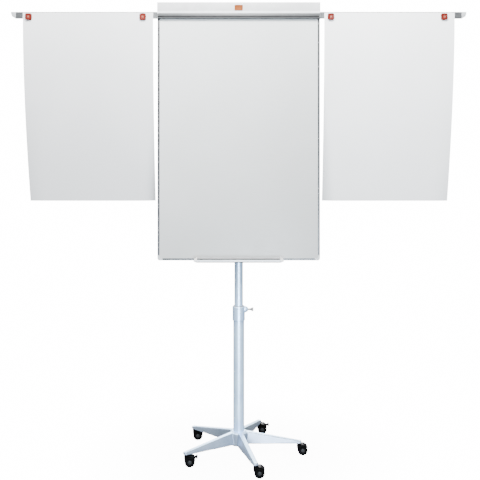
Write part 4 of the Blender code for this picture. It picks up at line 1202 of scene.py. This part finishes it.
def makeSideArms():
    size = sideArm
    front, back = size["front"], size["front"] + size["depth"]
    low, high, wall = size["low"], size["high"], size["wall"]
    pivotY = front + 0.007
    for name, side in sides.items():
        pivot = Vector((side * size["pivot"], pivotY, 0))
        section = [
            (front, low + 0.0006), (front + 0.0006, low), (front + wall, low), (front + wall, high - wall),
            (back - wall, high - wall), (back - wall, low), (back - 0.0006, low), (back, low + 0.0006),
            (back, high - 0.0008), (back - 0.0008, high), (front + 0.0008, high), (front, high - 0.0008),
        ]
        near, far = sorted((side * (size["pivot"] + 0.004), side * size["capStart"]))
        bar = solid(f"{name}SideArm", section, near, far, "YZ")
        knuckle = rod("knuckle", 0.0070, pivot + up * low, pivot + up * high, 48)
        merge(bar, knuckle)
        fill = block("fill", (min(side * 0.330, side * 0.342), front + 0.0002, low + 0.0002),
                     (max(side * 0.330, side * 0.342), back - 0.0002, high - 0.0002))
        merge(bar, fill)
        drill(bar, 0.0033, pivot + up * (low - 0.01), pivot + up * (high + 0.01), 32)
        dress(smooth(bar, 30), f"arm_{name}", "frame_aluminium", finishes["armAcross"], f"side_arm_{name}")

        start, tip = size["capStart"] + 0.0002, size["end"]
        outline = [(start, low - 0.0002), (start + 0.0012, low - 0.0002), (tip - 0.0040, low + 0.0090),
                   (tip, high - 0.0060), (tip, high), (start, high)]
        outline = [(side * x, z) for x, z in outline]
        cap = solid(f"{name}ArmCap", outline, front - 0.0004, back + 0.0004, "XZ")
        roundEdges(cap, 0.0018, 4, lambda at, along: abs(along.y) > 0.9 and abs(at.x) > tip - 0.006)
        soften(cap, 0.0009, 3, 25)
        dress(cap, f"arm_{name}", "light_plastic", finishes["lightPlastic"])

        boxLow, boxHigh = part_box(f"arm_bracket_{name}")
        plate = block(f"{name}ArmBracket", boxLow, (boxHigh.x, boxLow.y + 0.0027, boxHigh.z))
        roundEdges(plate, 0.006, 6, lambda at, along: abs(along.y) > 0.9 and abs(at.x) < 0.300)
        plan = [(pivot.x - 0.007, boxLow.y + 0.0010), (pivot.x + 0.007, boxLow.y + 0.0010)]
        plan += arc((pivot.x, pivot.y), 0.007, 0, 180, 16)
        for height in (boxLow.z, boxHigh.z - 0.0030):
            merge(plate, solid("ear", plan, height, height + 0.0030, "XY"))
        pin = rod("pin", 0.0030, pivot + up * (boxLow.z + 0.001), pivot + up * (boxHigh.z - 0.001), 24)
        merge(plate, pin)
        soften(plate, 0.0004, 2, 40)
        dress(plate, "mast", "grey_plastic", finishes["saddlePlastic"], f"arm_bracket_{name}")
        for rise in (-1, 1):
            spot = (side * 0.302, boxLow.y + 0.0027, (low + high) / 2 + rise * 0.009)
            screw = copyTo(bolt, f"{name}BracketScrew_{(rise + 1) // 2}", (0, 0, 0))
            screw.scale = (0.55, 0.55, 0.55)
            settle(screw)
            screw.location = spot
            dress(settle(screw), "mast", "bare_steel", finishes["steel"])
    print("side arms made")


def makeMagnets():
    size = magnet
    half = size["side"] / 2
    low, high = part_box("magnet_left_inner")
    middle = (low + high) / 2
    model = block("magnet", low, high)
    roundEdges(model, size["corner"], 6, lambda at, along: abs(along.y) > 0.9)
    pick(model, "FACE", lambda at, normal: normal.y < -0.9)
    bpy.ops.mesh.inset(thickness=half - size["centre"] - 0.0022, depth=0)
    bpy.ops.transform.translate(value=(0, 0.0002, 0))
    bpy.ops.mesh.inset(thickness=0.0018, depth=0)
    bpy.ops.transform.translate(value=(0, 0.0012, 0))
    share = size["centreScale"]
    bpy.ops.transform.resize(value=(share, 1, share), center_override=tuple(middle))
    leave()
    soften(model, 0.0010, 3, 28)
    for name in ("left_inner", "left_outer", "right_inner", "right_outer"):
        low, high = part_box(f"magnet_{name}")
        side, place = name.split("_")
        twin = copyTo(model, f"{side}Magnet_{place}", (low + high) / 2 - middle)
        dress(twin, f"magnet_{name}", "magnet_orange", finishes["magnet"], f"magnet_{name}")
        spot = (low + high) / 2
        addSecond(twin, finishes["magnetCentre"], lambda at, normal: normal.y < -0.7 and at.y > low.y + 0.0005
                  and at.y < low.y + 0.003 and math.hypot(at.x - spot.x, at.z - spot.z) < size["centreSpot"])
    bpy.data.objects.remove(model)
    print("magnets made")


makeSideArms()
makeMagnets()
bpy.data.objects.remove(bolt)

# Hanging sheets

paperSize = {
    "width": 0.566,
    "length": 0.830,
    "flat": 0.0252,  # the part that lies against the arm
    "lean": 0.105,
    "thickness": 0.0003,
    "curlWidth": 0.075,
    "curlBack": {"inner": 0.030, "outer": 0.012},
    "wave": 0.0018,
    "stepsAcross": 56,
    "stepsDown": 84,
}


def hangLine(steps):
    # Points down the paper's middle: (distance along the paper, back, height)
    size = paperSize
    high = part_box("sheet_left")[1]
    rear = sideArm["front"] - 0.0007
    points = [(0.0, rear, high.z), (size["flat"], rear, high.z - size["flat"])]
    step = (size["length"] - size["flat"]) / steps
    for k in range(steps):
        slant = 1.7 * size["lean"] / (size["length"] - size["flat"]) * ((k + 0.5) / steps) ** 0.7
        along, back, height = points[-1]
        points.append((along + step, back + step * math.sin(slant), height - step * math.cos(slant)))
    return points


def alongLine(line, distance):
    for (a, backA, highA), (b, backB, highB) in zip(line, line[1:]):
        if distance <= b + 1e-9:
            share = (distance - a) / (b - a)
            return backA + (backB - backA) * share, highA + (highB - highA) * share
    return line[-1][1:]


def makeSheet(name, side):
    size = paperSize
    line = hangLine(60)
    bpy.ops.object.select_all(action="DESELECT")
    bpy.ops.mesh.primitive_grid_add(size=1, x_subdivisions=size["stepsAcross"],
                                    y_subdivisions=size["stepsDown"])
    sheet = named(f"{name}Sheet")
    edge = size["curlWidth"]
    for vertex in sheet.data.vertices:
        across, down = vertex.co.x + 0.5, 0.5 - vertex.co.y  # 0 to 1, from the board outwards and downwards
        back, height = alongLine(line, down * size["length"])
        fromInner, fromOuter = across * size["width"], (1 - across) * size["width"]
        drop = max(0.0, (down - 0.06) / 0.94)
        curl = 0.0
        pull = 0.0
        for distance, end, way in ((fromInner, "inner", 1), (fromOuter, "outer", -1)):
            if distance < edge:
                bend = size["curlBack"][end] * (1 - distance / edge) ** 2 * drop ** 1.6
                curl += bend
                pull += way * 0.12 * bend
        wave = size["wave"] * drop * math.sin(across * 7.0 + 1.3 * side) * math.sin(down * 4.0 + 0.5)
        x = side * (0.372 + fromInner + pull)
        vertex.co = (x, back + curl + wave, height)
    if side < 0:
        mend(sheet)
    modify(sheet, "SOLIDIFY", thickness=size["thickness"], offset=0.0, use_even_offset=True)
    mend(sheet)
    smooth(sheet, 60)
    dress(sheet, f"arm_{name}", "paper", finishes["paper"], f"sheet_{name}")


for sideName, sign in sides.items():
    makeSheet(sideName, sign)
print("sheets hung")
